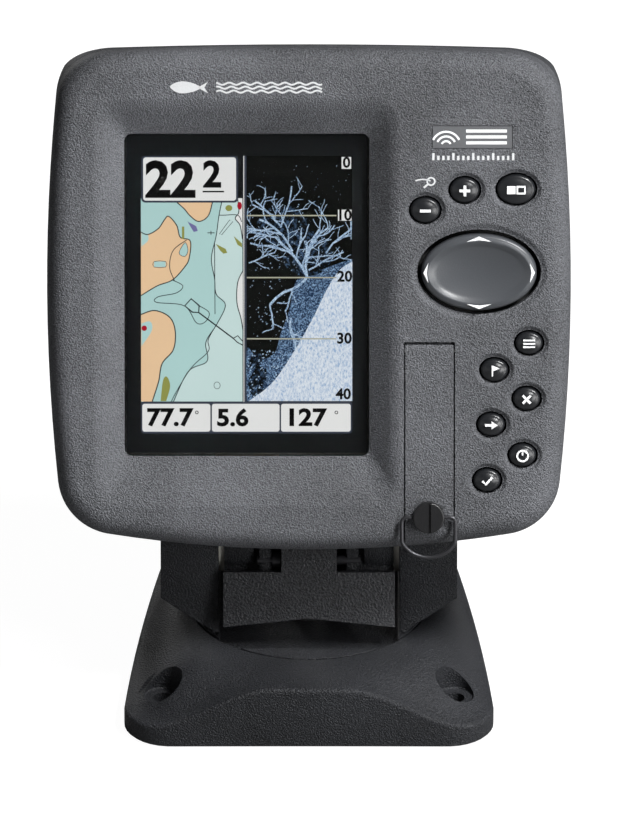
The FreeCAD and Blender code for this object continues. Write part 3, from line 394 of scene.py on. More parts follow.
def lit_ink(name, colour):
    """A flat colour of the lit display, with the faint unevenness of its backlight."""
    material, tree, shader = new_material(name)
    where = tree.nodes.new("ShaderNodeTexCoord")
    cloud = tree.nodes.new("ShaderNodeTexNoise")
    cloud.inputs["Scale"].default_value = 60.0
    tree.links.new(where.outputs["Object"], cloud.inputs["Vector"])
    tone = tree.nodes.new("ShaderNodeMapRange")
    tone.inputs["To Min"].default_value = 0.96
    tone.inputs["To Max"].default_value = 1.04
    tree.links.new(cloud.outputs["Fac"], tone.inputs["Value"])
    tint = tree.nodes.new("ShaderNodeVectorMath")
    tint.operation = "SCALE"
    tint.inputs[0].default_value = colour
    tree.links.new(tone.outputs["Result"], tint.inputs["Scale"])
    tree.links.new(tint.outputs[0], shader.inputs["Emission Color"])
    shader.inputs["Emission Strength"].default_value = 1.0
    shader.inputs["Base Color"].default_value = (0.01, 0.01, 0.01, 1)
    shader.inputs["Roughness"].default_value = 0.8
    shader.inputs["Specular IOR Level"].default_value = 0.0
    return material


CASE = plastic("textured charcoal case", (0.088, 0.091, 0.1), roughness=0.58, depth=1.0, grain=2500,
               drift=0.95)
REAR = plastic("textured black rear", (0.045, 0.047, 0.052), roughness=0.6, depth=0.8, grain=2200, drift=0.6)
MOUNT = plastic("black mount plastic", (0.019, 0.02, 0.023), roughness=0.5, depth=1.0, grain=2300, drift=0.9,
                specular=0.3)
LATCH = plastic("textured latch plastic", (0.03, 0.031, 0.035), roughness=0.5, depth=1.0, grain=1800, drift=0.9)
KEY = plastic("satin key rubber", (0.012, 0.013, 0.015), roughness=0.3, depth=0.05, drift=0.05)
PAD = plastic("satin pad rubber", (0.06, 0.064, 0.071), roughness=0.34, depth=0.05, drift=0.05)
BLACK = plastic("moulded black", (0.012, 0.012, 0.013), roughness=0.35, depth=0.1)
GLOSS_BLACK = plastic("printed black border", (0.013, 0.016, 0.018), roughness=0.3, depth=0.0, drift=0.03)
SEAL = plastic("soft black rubber", (0.02, 0.02, 0.02), roughness=0.8)
STEEL = plastic("stainless steel", (0.55, 0.55, 0.56), roughness=0.28, metallic=1.0, depth=0.05, grain=900)
# dark wire colour of the pull ring; on the latch pin and spring the same dark colour is painted shade of the
# shaded gap between the head and the latch
WIRE_AND_GAP_SHADE = plastic("blackened wire and painted gap shade", (0.05, 0.05, 0.055), roughness=0.35, metallic=0.6, depth=0.05)
NYLON = plastic("natural nylon", (0.7, 0.68, 0.62), roughness=0.5, depth=0.1)
BOARD = plastic("green solder mask", (0.02, 0.13, 0.06), roughness=0.35, grain=400, depth=0.1)
FILM = plastic("amber flex film", (0.5, 0.28, 0.06), roughness=0.3, depth=0.02)
WHITE = plastic("white moulded tray", (0.8, 0.8, 0.77), roughness=0.5)
INK = plastic("white pad-printed ink", (0.9, 0.91, 0.92), roughness=0.5, depth=0.05, drift=0.03)
SILVER_INK = plastic("silver ink", (0.62, 0.63, 0.64), roughness=0.4, depth=0.05, drift=0.05)
BADGE = plastic("grey printed badge", (0.11, 0.113, 0.12), roughness=0.45, depth=0.1, drift=0.05)


def clear_window():
    """Clear plastic with the faintest smear on it."""
    material, tree, shader = new_material("clear acrylic window")
    where = tree.nodes.new("ShaderNodeTexCoord")
    smear = tree.nodes.new("ShaderNodeTexNoise")
    smear.inputs["Scale"].default_value = 45.0
    tree.links.new(where.outputs["Object"], smear.inputs["Vector"])
    haze = tree.nodes.new("ShaderNodeMapRange")
    haze.inputs["To Min"].default_value = 0.0
    haze.inputs["To Max"].default_value = 0.04
    tree.links.new(smear.outputs["Fac"], haze.inputs["Value"])
    tree.links.new(haze.outputs["Result"], shader.inputs["Roughness"])
    shader.inputs["Transmission Weight"].default_value = 1.0
    shader.inputs["IOR"].default_value = 1.3
    shader.inputs["Specular IOR Level"].default_value = 0.2
    return material


# ------------------------------------------------------------------ CAD nodes that keep their shape

NODE_MATERIALS = {
    "rear_cover": REAR, "case_seal": SEAL, "case_screws": STEEL, "display_window": clear_window(),
    "display_panel": GLOSS_BLACK, "display_tray": WHITE, "display_flex": FILM, "main_board": BOARD,
    "board_screws": STEEL, "alarm_buzzer": BLACK, "head_connector": BLACK, "keypad_membrane": SEAL,
    "keypad_board": BOARD, "key_switches": STEEL, "rocker_gimbal": NYLON, "nameplate": BADGE,
    "door_hinge_pin": STEEL, "card_socket": BLACK, "card_door_seal": SEAL, "pull_ring": WIRE_AND_GAP_SHADE,
    # the latch pin and spring take the dark wire colour as painted shade of the shaded gap they sit in
    "contact_insert": BLACK, "connector_holder": BLACK, "latch_pin": WIRE_AND_GAP_SHADE, "latch_spring": WIRE_AND_GAP_SHADE,
    "pivot_screws": MOUNT, "friction_washers": NYLON, "thrust_washer": NYLON, "swivel_bolt": STEEL,
    "spring_washer": STEEL, "swivel_nut": STEEL, "front_bezel": CASE, "card_door": CASE,
    "mounting_base": MOUNT, "swivel_yoke": MOUNT, "tilt_carrier": MOUNT, "release_latch": LATCH,
    "door_knob": BLACK,
}
for node, material in NODE_MATERIALS.items():
    data = nodes[node].data
    for place in range(len(data.materials)):
        data.materials[place] = material
    if not data.materials:
        data.materials.append(material)


# ------------------------------------------------------------------ buttons and pad

BUTTONS = {
    "zoom_out_button": (29.2, 22.5, 7.4, 6.3),
    "zoom_in_button": (39.1, 27.6, 7.4, 6.3),
    "view_button": (52.0, 27.8, 9.6, 7.5),
    "menu_button": (55.3, -11.3, 6.8, 5.7),
    "mark_button": (46.6, -18.2, 6.8, 5.7),
    "exit_button": (54.7, -25.5, 6.8, 5.7),
    "goto_button": (45.8, -32.1, 6.8, 5.7),
    "power_button": (53.7, -39.9, 6.8, 5.7),
    "check_button": (44.8, -46.3, 6.8, 5.7),
}
CAP_PROUD = 0.8
MARK_LINE = 0.6
FINE_MARK_LINE = 0.45


def bar(x0, x1, z0, z1):
    return [(x0, z0), (x1, z0), (x1, z1), (x0, z1)]


def moved(outline, across, up):
    return [(x + across, z + up) for x, z in outline]


def button_signs(name):
    """Outlines of the sign on a button, about its centre: filled shapes and lines."""
    if name == "zoom_out_button":
        return [bar(-1.35, 1.35, -0.35, 0.35)], []
    if name == "zoom_in_button":
        return [[(-1.35, -0.35), (-0.35, -0.35), (-0.35, -1.35), (0.35, -1.35), (0.35, -0.35), (1.35, -0.35),
                 (1.35, 0.35), (0.35, 0.35), (0.35, 1.35), (-0.35, 1.35), (-0.35, 0.35), (-1.35, 0.35)]], []
    if name == "view_button":
        return [bar(-2.3, -0.2, -1.0, 1.0)], [(bar(0.25, 2.15, -0.85, 0.85), True)]
    if name == "menu_button":
        return [bar(-1.5, 1.5, level - 0.2, level + 0.2) for level in (-0.85, 0, 0.85)], []
    if name == "mark_button":
        return [[(-0.7, -1.4), (-0.35, -1.4), (-0.35, -0.1), (1.2, 0.6), (-0.35, 1.3), (-0.7, 1.3)]], []
    if name == "exit_button":
        return [], [([(-1.0, -1.0), (1.0, 1.0)], False), ([(-1.0, 1.0), (1.0, -1.0)], False)]
    if name == "goto_button":
        return [[(-1.6, -0.3), (0.1, -0.3), (0.1, -1.0), (1.6, 0), (0.1, 1.0), (0.1, 0.3), (-1.6, 0.3)]], []
    if name == "power_button":
        return [bar(-0.2, 0.2, 0.1, 0.9)], [(ring_line((0, 0), 1.35, 1.35)[:-1], True)]
    return [], [([(-1.2, 0.0), (-0.35, -0.9), (1.3, 0.95)], False)]


def cap_profile(wide, tall, proud):
    """Half widths, half heights and depths of a domed cap, from its back to its crown."""
    rings = [(wide / 2 + 1.3, tall / 2 + 1.3, 3.9), (wide / 2 + 1.3, tall / 2 + 1.3, 3.15),
             (wide / 2, tall / 2, 3.1), (wide / 2, tall / 2, 0.9)]
    roll = 0.9
    for step in range(1, 9):
        angle = math.pi / 2 * step / 8
        inset = roll * (1 - math.cos(angle)) * 0.9
        rings.append((wide / 2 - inset, tall / 2 - inset, 0.9 - (0.75 + proud * 0.35) * math.sin(angle)))
    edge = rings[-1]
    for step in range(1, 9):
        share = 1 - step / 8.5
        rise = (proud * 0.65 + 0.15) * (1 - share ** 2)
        rings.append((edge[0] * share, edge[1] * share, edge[2] - rise))
    return rings


def buttons():
    for name, (across, up, wide, tall) in BUTTONS.items():
        cap_mesh = oval_rings(name, (across, up), cap_profile(wide, tall, CAP_PROUD))
        cap = add_piece(name + "_cap", cap_mesh, name, KEY)
        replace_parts(cap, name)
        fills, lines = button_signs(name)
        front, back = -CAP_PROUD - 0.03, -CAP_PROUD + 0.35
        marks = [plate("sign", moved(outline, across, up), front, back) for outline in fills]
        width = FINE_MARK_LINE if name == "power_button" else MARK_LINE
        marks += [stroke("sign", moved(line, across, up), width, front, back, closed) for line, closed in lines]
        add_piece(name + "_sign", joined(name + "_sign", marks), name, INK)


PAD_AT = (42.7, 6.8)
PAD_WIDE = 28.9
PAD_TALL = 19.3


def direction_pad():
    """Oval pad with a rolled rim and a dished middle, a stem behind it and four arrowheads."""
    half_wide, half_tall = PAD_WIDE / 2, PAD_TALL / 2
    rings = [(2, 2, 3.6), (2, 2, 2.6), (half_wide - 0.4, half_tall - 0.4, 2.2), (half_wide, half_tall, 1.9),
             (half_wide, half_tall, 0.4)]
    for step in range(1, 7):
        angle = math.pi / 2 * step / 6
        inset = 1.0 * (1 - math.cos(angle))
        rings.append((half_wide - inset, half_tall - inset, 0.4 - 1.1 * math.sin(angle)))
    rings.append((13.1, 8.2, -1.05))
    rings.append((12.75, 7.75, -0.98))
    for step in range(1, 12):
        share = 1 - step / 12
        rings.append((12.6 * share, 7.6 * share, -0.55 + 1.7 * (1 - share ** 2)))
    pad = add_piece("direction_pad_cap", oval_rings("pad", PAD_AT, rings, 96), "pad", PAD)
    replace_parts(pad, "direction_pad")
    arrows = []
    for side in (-1, 1):
        arrows.append([(-3.1, side * 7.95), (0, side * 9.2), (3.1, side * 7.95), (0, side * 8.3)])
        arrows.append([(side * 12.75, -2.5), (side * 14.0, 0), (side * 12.75, 2.5), (side * 13.15, 0)])
    gimbal = oval_rings("gimbal", PAD_AT, [(4.5, 4.5, 3.8), (4.5, 4.5, 4.3), (2.6, 2.6, 4.46)], 40)
    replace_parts(add_piece("rocker_gimbal_skin", gimbal, "rocker", NYLON), "rocker_gimbal")
    marks = [plate("arrow", moved(outline, *PAD_AT), -1.12, -0.5) for outline in arrows]
    add_piece("direction_pad_arrows", joined("arrows", marks), "pad", INK)


buttons()
direction_pad()


# ------------------------------------------------------------------ front of the case

CAP_GAP = 0.5
PAD_GAP = 1.1


def dish(name, centre, half_wide, half_tall, spread, deep):
    """A cutter for a soft-edged oval well: widest at the face, down to the size of its hole."""
    rings = [(half_wide - 0.2, half_tall - 0.2, deep + 0.05)]
    for step in range(7):
        share = step / 6
        rings.append((half_wide + spread * share, half_tall + spread * share,
                      deep * 0.5 * (1 + math.cos(math.pi * share))))
    rings.append((half_wide + spread, half_tall + spread, -3.0))
    return oval_rings(name, centre, rings, 72)


# left, right, low and high of the display recess at the face and at its floor, and their corners
RECESS = (-52.75, 21.25, -51.8, 49.4)
OPENING = (-46.35, 15.15, -40.9, 41.3)
RECESS_CORNER = 5
OPENING_CORNER = 2


def recess_cutter():
    """The display recess again, with a rolled rim in place of the sharp one."""
    rings = [(1.7, 0.0, -2.0), (1.7, 0.0, 0.0), (1.1, 0.0, 0.06), (0.5, 0.0, 0.22), (0.1, 0.03, 0.42),
             (0.0, 0.12, 0.72), (0.0, 0.24, 1.16), (0.0, 1.0, 4.52), (-0.6, 1.0, 4.8)]
    points = []
    for outset, share, depth in rings:
        left, right, low, high = [rim + (hole - rim) * share for rim, hole in zip(RECESS, OPENING)]
        outline = rounded_box(left - outset, right + outset, low - outset, high + outset,
                              RECESS_CORNER + (OPENING_CORNER - RECESS_CORNER) * share + outset, 8)
        points += [(x, depth, z) for x, z in outline]
    return mesh_from("recess", points, capped_faces(len(rings), len(points) // len(rings)))


def drafted(shape):
    """Lower the top of the case a little towards its back, as its mould draft does."""
    into_head = HEAD.inverted()
    for vertex in shape.verts:
        spot = into_head @ vertex.co
        deep = min(max((spot.y - 3.0) / 13.0, 0.0), 1.0)
        fade = min(max((40.0 - spot.y) / 20.0, 0.0), 1.0)
        high = min(max((spot.z - 55.5) / 7.0, 0.0), 1.0)
        spot.z -= 1.5 * deep * fade * high
        vertex.co = HEAD @ spot


def bezel_skin():
    """The case front with a rolled recess rim and soft wells round the buttons and the pad."""
    shape = merged_copy("front_bezel")
    drafted(shape)
    mesh = skin_mesh("front_bezel_skin", shape)
    wells = [dish(name, (across, up), wide / 2 + CAP_GAP, tall / 2 + CAP_GAP, 1.2, 0.75)
             for name, (across, up, wide, tall) in BUTTONS.items()]
    wells.append(dish("pad", PAD_AT, PAD_WIDE / 2 + PAD_GAP, PAD_TALL / 2 + PAD_GAP, 1.9, 0.8))
    wells.append(recess_cutter())
    cutter = joined("wells", wells)
    cutter.transform(HEAD)
    mesh = carved("front_bezel_skin", mesh, cutter)
    shade(mesh, 28)
    piece = link_mesh("front_bezel_skin", mesh)
    mesh.materials.append(CASE)
    keep_flats_flat(piece)
    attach(piece, "head")
    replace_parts(piece, "front_bezel")


def rear_skin():
    """Rear cover and seal, drafted with the case front."""
    for node, material in (("rear_cover", REAR), ("case_seal", SEAL)):
        shape = merged_copy(node)
        drafted(shape)
        mesh = skin_mesh(node + "_skin", shape)
        shade(mesh, 12)
        piece = link_mesh(node + "_skin", mesh)
        mesh.materials.append(material)
        keep_flats_flat(piece)
        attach(piece, "head")
        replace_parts(piece, node)


def printed(name, marks, material):
    add_piece(name, joined(name, marks), "head", material)


def face_signs():
    """Printed signs of the case front: a fish over waves, a small scale and a lens."""
    front, back = -0.02, 0.2
    fish = smooth_line([(-34.8, 53.9), (-32.6, 55.2), (-29.6, 55.0), (-27.2, 53.7), (-29.6, 52.5),
                        (-32.6, 52.4)], True)
    tail = [(-27.8, 53.7), (-25.3, 55.2), (-26.2, 53.7), (-25.3, 52.3)]
    marks = [plate("fish", fish, front, back), plate("tail", tail, front, back)]
    for row in range(3):
        wave = [(-23.2 + 0.5 * step, 52.7 + row + 0.3 * math.sin(step * 0.9 + row)) for step in range(54)]
        marks.append(stroke("wave", wave, 0.45, front, back))
    printed("case_emblem", marks, SILVER_INK)
    ticks = [plate("tick", bar(30.9 + 1.25 * n, 31.5 + 1.25 * n, 35.3, 36.4 if n % 4 else 37.1), front, back)
             for n in range(17)]
    printed("case_scale", ticks, SILVER_INK)
    lens = [stroke("lens", ring_line((30.6, 29.9), 0.95, 0.95, steps=24)[:-1], 0.4, front, back, True),
            stroke("handle", [(29.9, 29.2), (28.8, 28.3)], 0.5, front, back)]
    lens.append(stroke("arc", ring_line((28.6, 27.2), 4.0, 3.2, 62, 118, 10), 0.35, front, back))
    printed("zoom_sign", lens, SILVER_INK)
    arcs = [stroke("arc", ring_line((34.4, 38.9), 1.2 * n, 1.2 * n, 25, 155, 14), 0.5, 0.06, 0.3)
            for n in (1, 2, 3)]
    arcs += [plate("bar", bar(39.4, 49.6, level, level + 0.75), 0.06, 0.3) for level in (39.3, 40.8, 42.3)]
    printed("nameplate_sign", arcs, INK)


# ------------------------------------------------------------------ the lit display

LAYER_BACK = 6.797
LAYER_FRONT = 6.79
LAYER_STEP = 0.008


def layer_depths(layer):
    """Front and back depth of a layer of the picture: thin films between the panel and the window."""
    return LAYER_FRONT - LAYER_STEP * layer, LAYER_BACK


def echo_ink(name, dark, bright, scale, low, high, stretch=1.0):
    """Speckle of a sonar echo: bright grains over a dark ground."""
    material = lit_ink(name, (1, 1, 1))
    tree = material.node_tree
    shader = tree.nodes["Principled BSDF"]
    where = tree.nodes.new("ShaderNodeTexCoord")
    turned = tree.nodes.new("ShaderNodeMapping")
    turned.inputs["Rotation"].default_value = (0, 0.7, 0)
    turned.inputs["Scale"].default_value = (1, 1, stretch)
    tree.links.new(where.outputs["Object"], turned.inputs["Vector"])
    grain = tree.nodes.new("ShaderNodeTexNoise")
    grain.inputs["Scale"].default_value = scale
    grain.inputs["Detail"].default_value = 5.0
    grain.inputs["Roughness"].default_value = 0.7
    tree.links.new(turned.outputs["Vector"], grain.inputs["Vector"])
    share = tree.nodes.new("ShaderNodeMapRange")
    share.inputs["From Min"].default_value = low
    share.inputs["From Max"].default_value = high
    tree.links.new(grain.outputs["Fac"], share.inputs["Value"])
    mix = tree.nodes.new("ShaderNodeMix")
    mix.data_type = "RGBA"
    factor, first, second = mix.inputs[0], mix.inputs[6], mix.inputs[7]
    tree.links.new(share.outputs["Result"], factor)
    first.default_value = (*dark, 1)
    second.default_value = (*bright, 1)
    tree.links.new(mix.outputs[2], shader.inputs["Emission Color"])
    return material


def on_screen(points):
    return [(x + SCREEN.x, z + SCREEN.z) for x, z in points]


def film(outline, layer):
    return plate("film", on_screen(outline), *layer_depths(layer))


def line_film(points, width, layer, closed=False):
    return stroke("line", on_screen(points), width, *layer_depths(layer), closed)


def figures(words, left, low, tall, layer, bold, squeeze=1.0):
    return digits("figures", words, left + SCREEN.x, low + SCREEN.z, tall, *layer_depths(layer), bold, squeeze)


def chart():
    """Left half of the picture: water, land, depth contours, the boat and its heading."""
    water = lit_ink("display shallow water", (0.50, 0.76, 0.74))
    deep = lit_ink("display deep water", (0.67, 0.86, 0.84))
    land = lit_ink("display land", (0.95, 0.66, 0.40))
    outline_ink = lit_ink("display outline", (0.03, 0.035, 0.04))
    white = lit_ink("display white", (0.93, 0.94, 0.93))
    olive = lit_ink("display olive", (0.33, 0.35, 0.09))
    violet = lit_ink("display violet", (0.2, 0.19, 0.42))
    red = lit_ink("display red", (0.45, 0.01, 0.03))
    printed("chart_water", [film(bar(-26.5, -1.0, -27.4, 24.5), 0)], water)
    edge = smooth_line([(-6.0, 24.5), (-6.9, 20.0), (-7.6, 14.9), (-8.8, 9.2), (-8.0, 4.0), (-7.6, 0.1),
                        (-5.3, -2.7), (-7.4, -7.5), (-10.2, -12.2), (-9.9, -17.0), (-14.6, -19.6),
                        (-18.4, -27.4)])
    printed("chart_deep", [film(edge + [(-1.0, -27.4), (-1.0, 24.5)], 1)], deep)
    shore = smooth_line([(-0.9, 6.0), (-2.2, 3.0), (-2.4, -2.0), (-1.4, -6.0), (-0.9, -9.0)])
    shallows = smooth_line([(-2.2, 24.5), (-1.9, 21.0), (-2.8, 19.4), (-1.6, 17.6), (-1.0, 14.2)])
    printed("chart_clear", [film(shore, 2),
                            film(shallows + [(-1.0, 24.5)], 2)], white)
    island = smooth_line([(-26.5, -0.3), (-22.4, 2.2), (-18.6, 3.7), (-15.6, 6.9), (-14.4, 9.2), (-14.1, 13.6),
                          (-16.6, 14.6), (-17.5, 17.6), (-19.5, 19.9), (-20.6, 19.0), (-22.1, 16.8),
                          (-24.7, 15.3), (-26.5, 15.9)])
    cape = smooth_line([(-17.6, 23.6), (-15.6, 21.8), (-14.2, 20.1), (-12, 18.6), (-9.6, 20.0), (-8.5, 23.6)])
    bank = smooth_line([(-26.5, -5.1), (-23.0, -4.1), (-19.3, -5.8), (-17.9, -9.4), (-18.4, -14.1),
                        (-21.2, -17.6), (-22.1, -22.2), (-23.7, -27.3)])
    lands = [film(island, 2), film(cape, 2),
             film(bank + [(-26.5, -27.3)], 2)]
    printed("chart_land", lands, land)
    pond = smooth_line([(-16.9, 10.6), (-15.4, 13.2), (-14.7, 11.2), (-15.5, 9.7)], True)
    ponds = [film(pond, 3), film(bar(-23.2, -20.3, 7.0, 8.4), 3),
             film(smooth_line([(-26.4, 17.4), (-25.3, 16.6), (-24.6, 14.0), (-26.4, 12.2)]), 3),
             film(smooth_line([(-26.4, -7.4), (-24.2, -6.9), (-23.8, -9.2), (-26.4, -13.2)]), 3)]
    printed("chart_ponds", ponds, water)
    contours = [line_film(edge, 0.22, 4),
                line_film(smooth_line([(-6.9, 20.2), (-5.6, 20.2), (-2.2, 20.2), (-1.2, 18.5)]), 0.2, 4),
                line_film([(-8.0, 13.0), (-7.9, -5.0)], 0.2, 4),
                line_film(smooth_line([(-7.4, -7.5), (-9.6, -11.5), (-9.6, -14.5), (-13.8, -18.6), (-17.4, -24.4),
                                       (-18.9, -27.3)]), 0.2, 4),
                line_film(smooth_line([(-18.6, 3.7), (-16.0, 2.2), (-17.6, 0.4), (-22.2, -0.6), (-22.6, -2.0),
                                       (-15.6, -2.9), (-12.6, -7.2), (-10.4, -7.0), (-9.4, -4.6), (-12.4, -2.6)]),
                          0.2, 4),
                line_film(island, 0.26, 4), line_film(cape, 0.26, 4), line_film(bank, 0.28, 4),
                line_film(shore, 0.24, 4), line_film(shallows, 0.24, 4),
                line_film(smooth_line([(-18.1, 3.6), (-19.3, 7.0), (-18.4, 11.2), (-15.0, 13.9)]), 0.2, 4),
                line_film(ring_line((-7.4, -23.2), 0.8, 0.9, steps=10)[:-1], 0.14, 4, True),
                line_film(smooth_line(bar(-23.2, -20.3, 7.0, 8.4), True, 2), 0.14, 4, True),
                line_film([(-6.8, 15.4), (-6.2, 15.2), (-3.4, 18.6), (-4.2, 19.0)], 0.14, 4, True),
                line_film(pond, 0.14, 4, True),
                line_film([(-9.8, 15.7), (-8.0, 15.7)], 0.2, 4), line_film([(-8.9, 16.2), (-8.9, 15.2)], 0.2, 4)]
    boat = [(-13.9, -1.1), (-11.9, -2.8), (-12.0, -4.6), (-13.6, -4.5), (-15.5, -2.9)]
    contours += [line_film(boat, 0.36, 4, True), line_film([(-12.0, -4.6), (-3.3, -11.2)], 0.34, 4),
                 line_film([(-3.3, -11.2), (-2.2, -10.5), (-1.0, -11.9)], 0.26, 4),
                 line_film([(-3.3, -11.2), (-2.3, -12.2), (-1.0, -12.9)], 0.26, 4)]
    printed("chart_lines", contours, outline_ink)
    reed = smooth_line([(-21.6, -27.2), (-21.0, -22.0), (-20.0, -21.0), (-19.2, -23.4), (-20.2, -27.2)])
    printed("chart_reeds", [film(reed, 3),
                            film([(-16.2, 17.3), (-15.6, 17.3), (-15.6, 14.2), (-16.2, 14.2)], 5),
                            film([(-7.7, 12.9), (-5.2, 11.6), (-4.8, 10.6), (-5.8, 10.4), (-6.6, 11.2)], 5),
                            film([(-3.2, 14.9), (-1.1, 13.0), (-1.1, 12.0), (-2.2, 12.6)], 5),
                            film(ring_line((-4.4, 22.0), 0.9, 0.8, steps=10)[:-1], 5)], olive)
    printed("chart_violet", [film([(-14.8, 18.6), (-12.6, 17.4), (-12.2, 16.2), (-13.2, 15.9), (-13.9, 17.0)], 5)],
            violet)
    printed("chart_red", [film(ring_line((-1.7, 22.6), 0.6, 1.0, steps=12)[:-1], 5),
                          film(ring_line((-25.7, -8.6), 0.7, 0.7, steps=12)[:-1], 5)], red)
    return white


def twig(dice, start, angle, reach, width, depth, out):
    """A forked echo: each branch wanders and throws smaller ones off."""
    points = [Vector(start)]
    steps = 5
    for step in range(steps):
        angle += dice.uniform(-0.32, 0.32)
        points.append(points[-1] + Vector((math.cos(angle), math.sin(angle))) * reach / steps)
        if depth and dice.random() < 0.62:
            twig(dice, points[-1], angle + dice.choice((-1, 1)) * dice.uniform(0.5, 1.1), reach * 0.5,
                 width * 0.62, depth - 1, out)
    points = [Vector((min(max(p.x, 0.2), 26.3), min(max(p.y, -27.2), 33.5))) for p in points]
    line = [p for i, p in enumerate(points) if not i or (p - points[i - 1]).length > 0.05]
    if len(line) > 1:
        out.append(line_film(line, width, 2))


def sonar():
    """Right half of the picture: a bright slope, a forked tree of echoes and loose specks."""
    dark = lit_ink("display black ground", (0.0015, 0.002, 0.0015))
    slope_ink = echo_ink("display slope echo", (0.30, 0.47, 0.74), (0.86, 0.93, 1.0), 2400, 0.34, 0.56, 0.4)
    glow_ink = echo_ink("display near echo", (0.01, 0.03, 0.08), (0.34, 0.55, 0.84), 2400, 0.46, 0.66)
    haze_ink = echo_ink("display faint echo", (0.0015, 0.002, 0.002), (0.10, 0.20, 0.38), 1100, 0.5, 0.74)
    twig_ink = echo_ink("display branch echo", (0.05, 0.14, 0.3), (0.60, 0.78, 0.98), 2600, 0.36, 0.58)
    printed("sonar_ground", [film(bar(-0.05, 26.6, -27.4, 35.3), 0)], dark)
    crest = smooth_line([(26.6, 8.4), (23.4, 6.2), (20.4, 1.6), (17.2, -5.0), (12.4, -13.8), (6.6, -22.4),
                         (0.6, -27.2)])
    printed("sonar_slope", [film(crest + [(26.6, -27.2)], 3)], slope_ink)
    near = smooth_line([(26.6, 9.0), (21.6, 7.4), (16.0, 5.0), (12.4, 3.2), (10.8, -4.0), (8.6, -10.0),
                        (7.0, -15.0), (3.0, -16.6), (0.1, -14.0), (0.1, -27.2)])
    printed("sonar_near", [film(near + [(0.6, -27.2)] + crest[::-1], 1)], glow_ink)
    clouds = [film(ring_line(centre, wide, tall, steps=28)[:-1], 1)
              for centre, wide, tall in (((9.2, 17.5), 6.6, 5.2), ((15.2, 10.4), 6.4, 5.8),
                                         ((2.6, -20.6), 2.5, 5.8))]
    printed("sonar_haze", clouds, haze_ink)
    dice = random.Random(7)
    echoes = []
    for start, angle, reach, width in (((15.3, 4.4), 2.15, 13, 0.62), ((11.6, 11.0), 2.1, 12, 0.5),
                                       ((8.5, 17.6), 2.2, 9, 0.42), ((8.6, 17.0), 1.35, 11, 0.36),
                                       ((15.3, 4.4), 1.6, 13, 0.5), ((14.6, 7.0), 1.2, 12, 0.42),
                                       ((20.0, 10.5), 1.15, 15, 0.42), ((12.2, 9.6), 2.7, 12, 0.4),
                                       ((9.4, 15.0), 2.9, 9, 0.36), ((15.3, 4.4), 4.25, 12, 0.62),
                                       ((11.2, -6.0), 4.3, 10, 0.5), ((6.8, 20.2), 2.9, 6, 0.32),
                                       ((0.6, 8.0), 0.5, 7, 0.32), ((15.6, 6.2), 0.6, 10, 0.42)):
        twig(dice, start, angle, reach, width, 2, echoes)
    printed("sonar_branches", echoes, twig_ink)
    specks = []
    for count, left, right, low, high, size in ((170, 0.4, 11, -26, -14, 0.34), (60, 0.4, 10, -12, 4, 0.3),
                                                (120, 1, 20, 6, 26, 0.26), (26, 1, 26, 24, 33, 0.2)):
        for _ in range(count):
            x, z = dice.uniform(left, right), dice.uniform(low, high)
            half = size * dice.uniform(0.3, 0.8)
            corners = [(x - half, z - half * 0.5), (x, z - half), (x + half, z), (x, z + half * 0.8)]
            specks.append(film(corners, 2))
    printed("sonar_specks", specks, twig_ink)
    pale = lit_ink("display pale line", (0.50, 0.50, 0.38))
    printed("sonar_depth_lines", [film(bar(0.1, right, up - 0.16, up + 0.16), 4)
                                  for up, right in ((20.1, 22.6), (4.3, 22.6), (-11.3, 22.6))], pale)


def read_outs(white):
    """Depth figure, depth scale and the three cells along the bottom, all without letters."""
    rim = lit_ink("display box rim", (0.05, 0.06, 0.085))
    black = lit_ink("display figure black", (0.002, 0.002, 0.002))
    cells = [(-26.2, -9.1), (-8.7, 8.3), (8.7, 26.2)]
    printed("box_rims", [film(rounded_box(-26.4, -2.1, 23.4, 35.3, 1.0), 5),
                         film(rounded_box(-26.6, 26.6, -35.5, -27.3, 0.9), 5),
                         film(bar(-0.55, 0.0, -27.4, 35.3), 5)], rim)
    faces = [film(rounded_box(-25.9, -2.6, 23.9, 34.9, 0.7), 6)]
    faces += [film(rounded_box(left, right, -35.0, -27.9, 0.6), 6) for left, right in cells]
    faces += [film(bar(23.9, 26.3, 32.0, 35.0), 6), film(bar(23.0, 26.4, 18.8, 21.6), 6),
              film(bar(-0.75, -0.55, -27.4, 35.3), 6)]
    printed("box_faces", faces, white)
    marks = [figures("22", -25.4, 24.6, 9.6, 7, 0.035, 1.0), figures("2", -10.9, 27.2, 7.0, 7, 0.03, 1.0),
             film(bar(-11.0, -5.6, 26.0, 26.4), 7)]
    marks += [figures("77.7", -25.0, -33.7, 4.7, 7, 0.035, 1.1), figures("5.6", -7.4, -33.7, 4.7, 7, 0.035, 1.1),
              figures("127", 10.8, -33.7, 4.7, 7, 0.035, 1.15)]
    marks += [figures(words, left, low, 2.9, 7, 0.03) for words, left, low in
              (("0", 24.2, 32.2), ("10", 23.3, 18.8), ("20", 22.8, 3.2), ("30", 22.8, -12.6),
               ("40", 22.4, -26.8))]
    marks += [line_film(ring_line((spot, -30.1), 0.36, 0.36, steps=12)[:-1], 0.2, 7, True)
              for spot in (-12.5, 22.6)]
    printed("figures", marks, black)


# ------------------------------------------------------------------ mounting base

BASE_TOP = 16.6
BASE_EDGE = 5.5
POCKET = 30.3
POCKET_FLOOR = 12.0
WEB = 9.0
WALL = 3.0
BOLT_WAY = 4.05
ROLL = 1.1
WELL_SPOTS = ((-36.8, -33.0), (36.8, -33.0), (-28.0, 35.0), (28.0, 35.0))


def ease(value):
    value = min(max(value, 0.0), 1.0)
    return value * value * (3 - 2 * value)


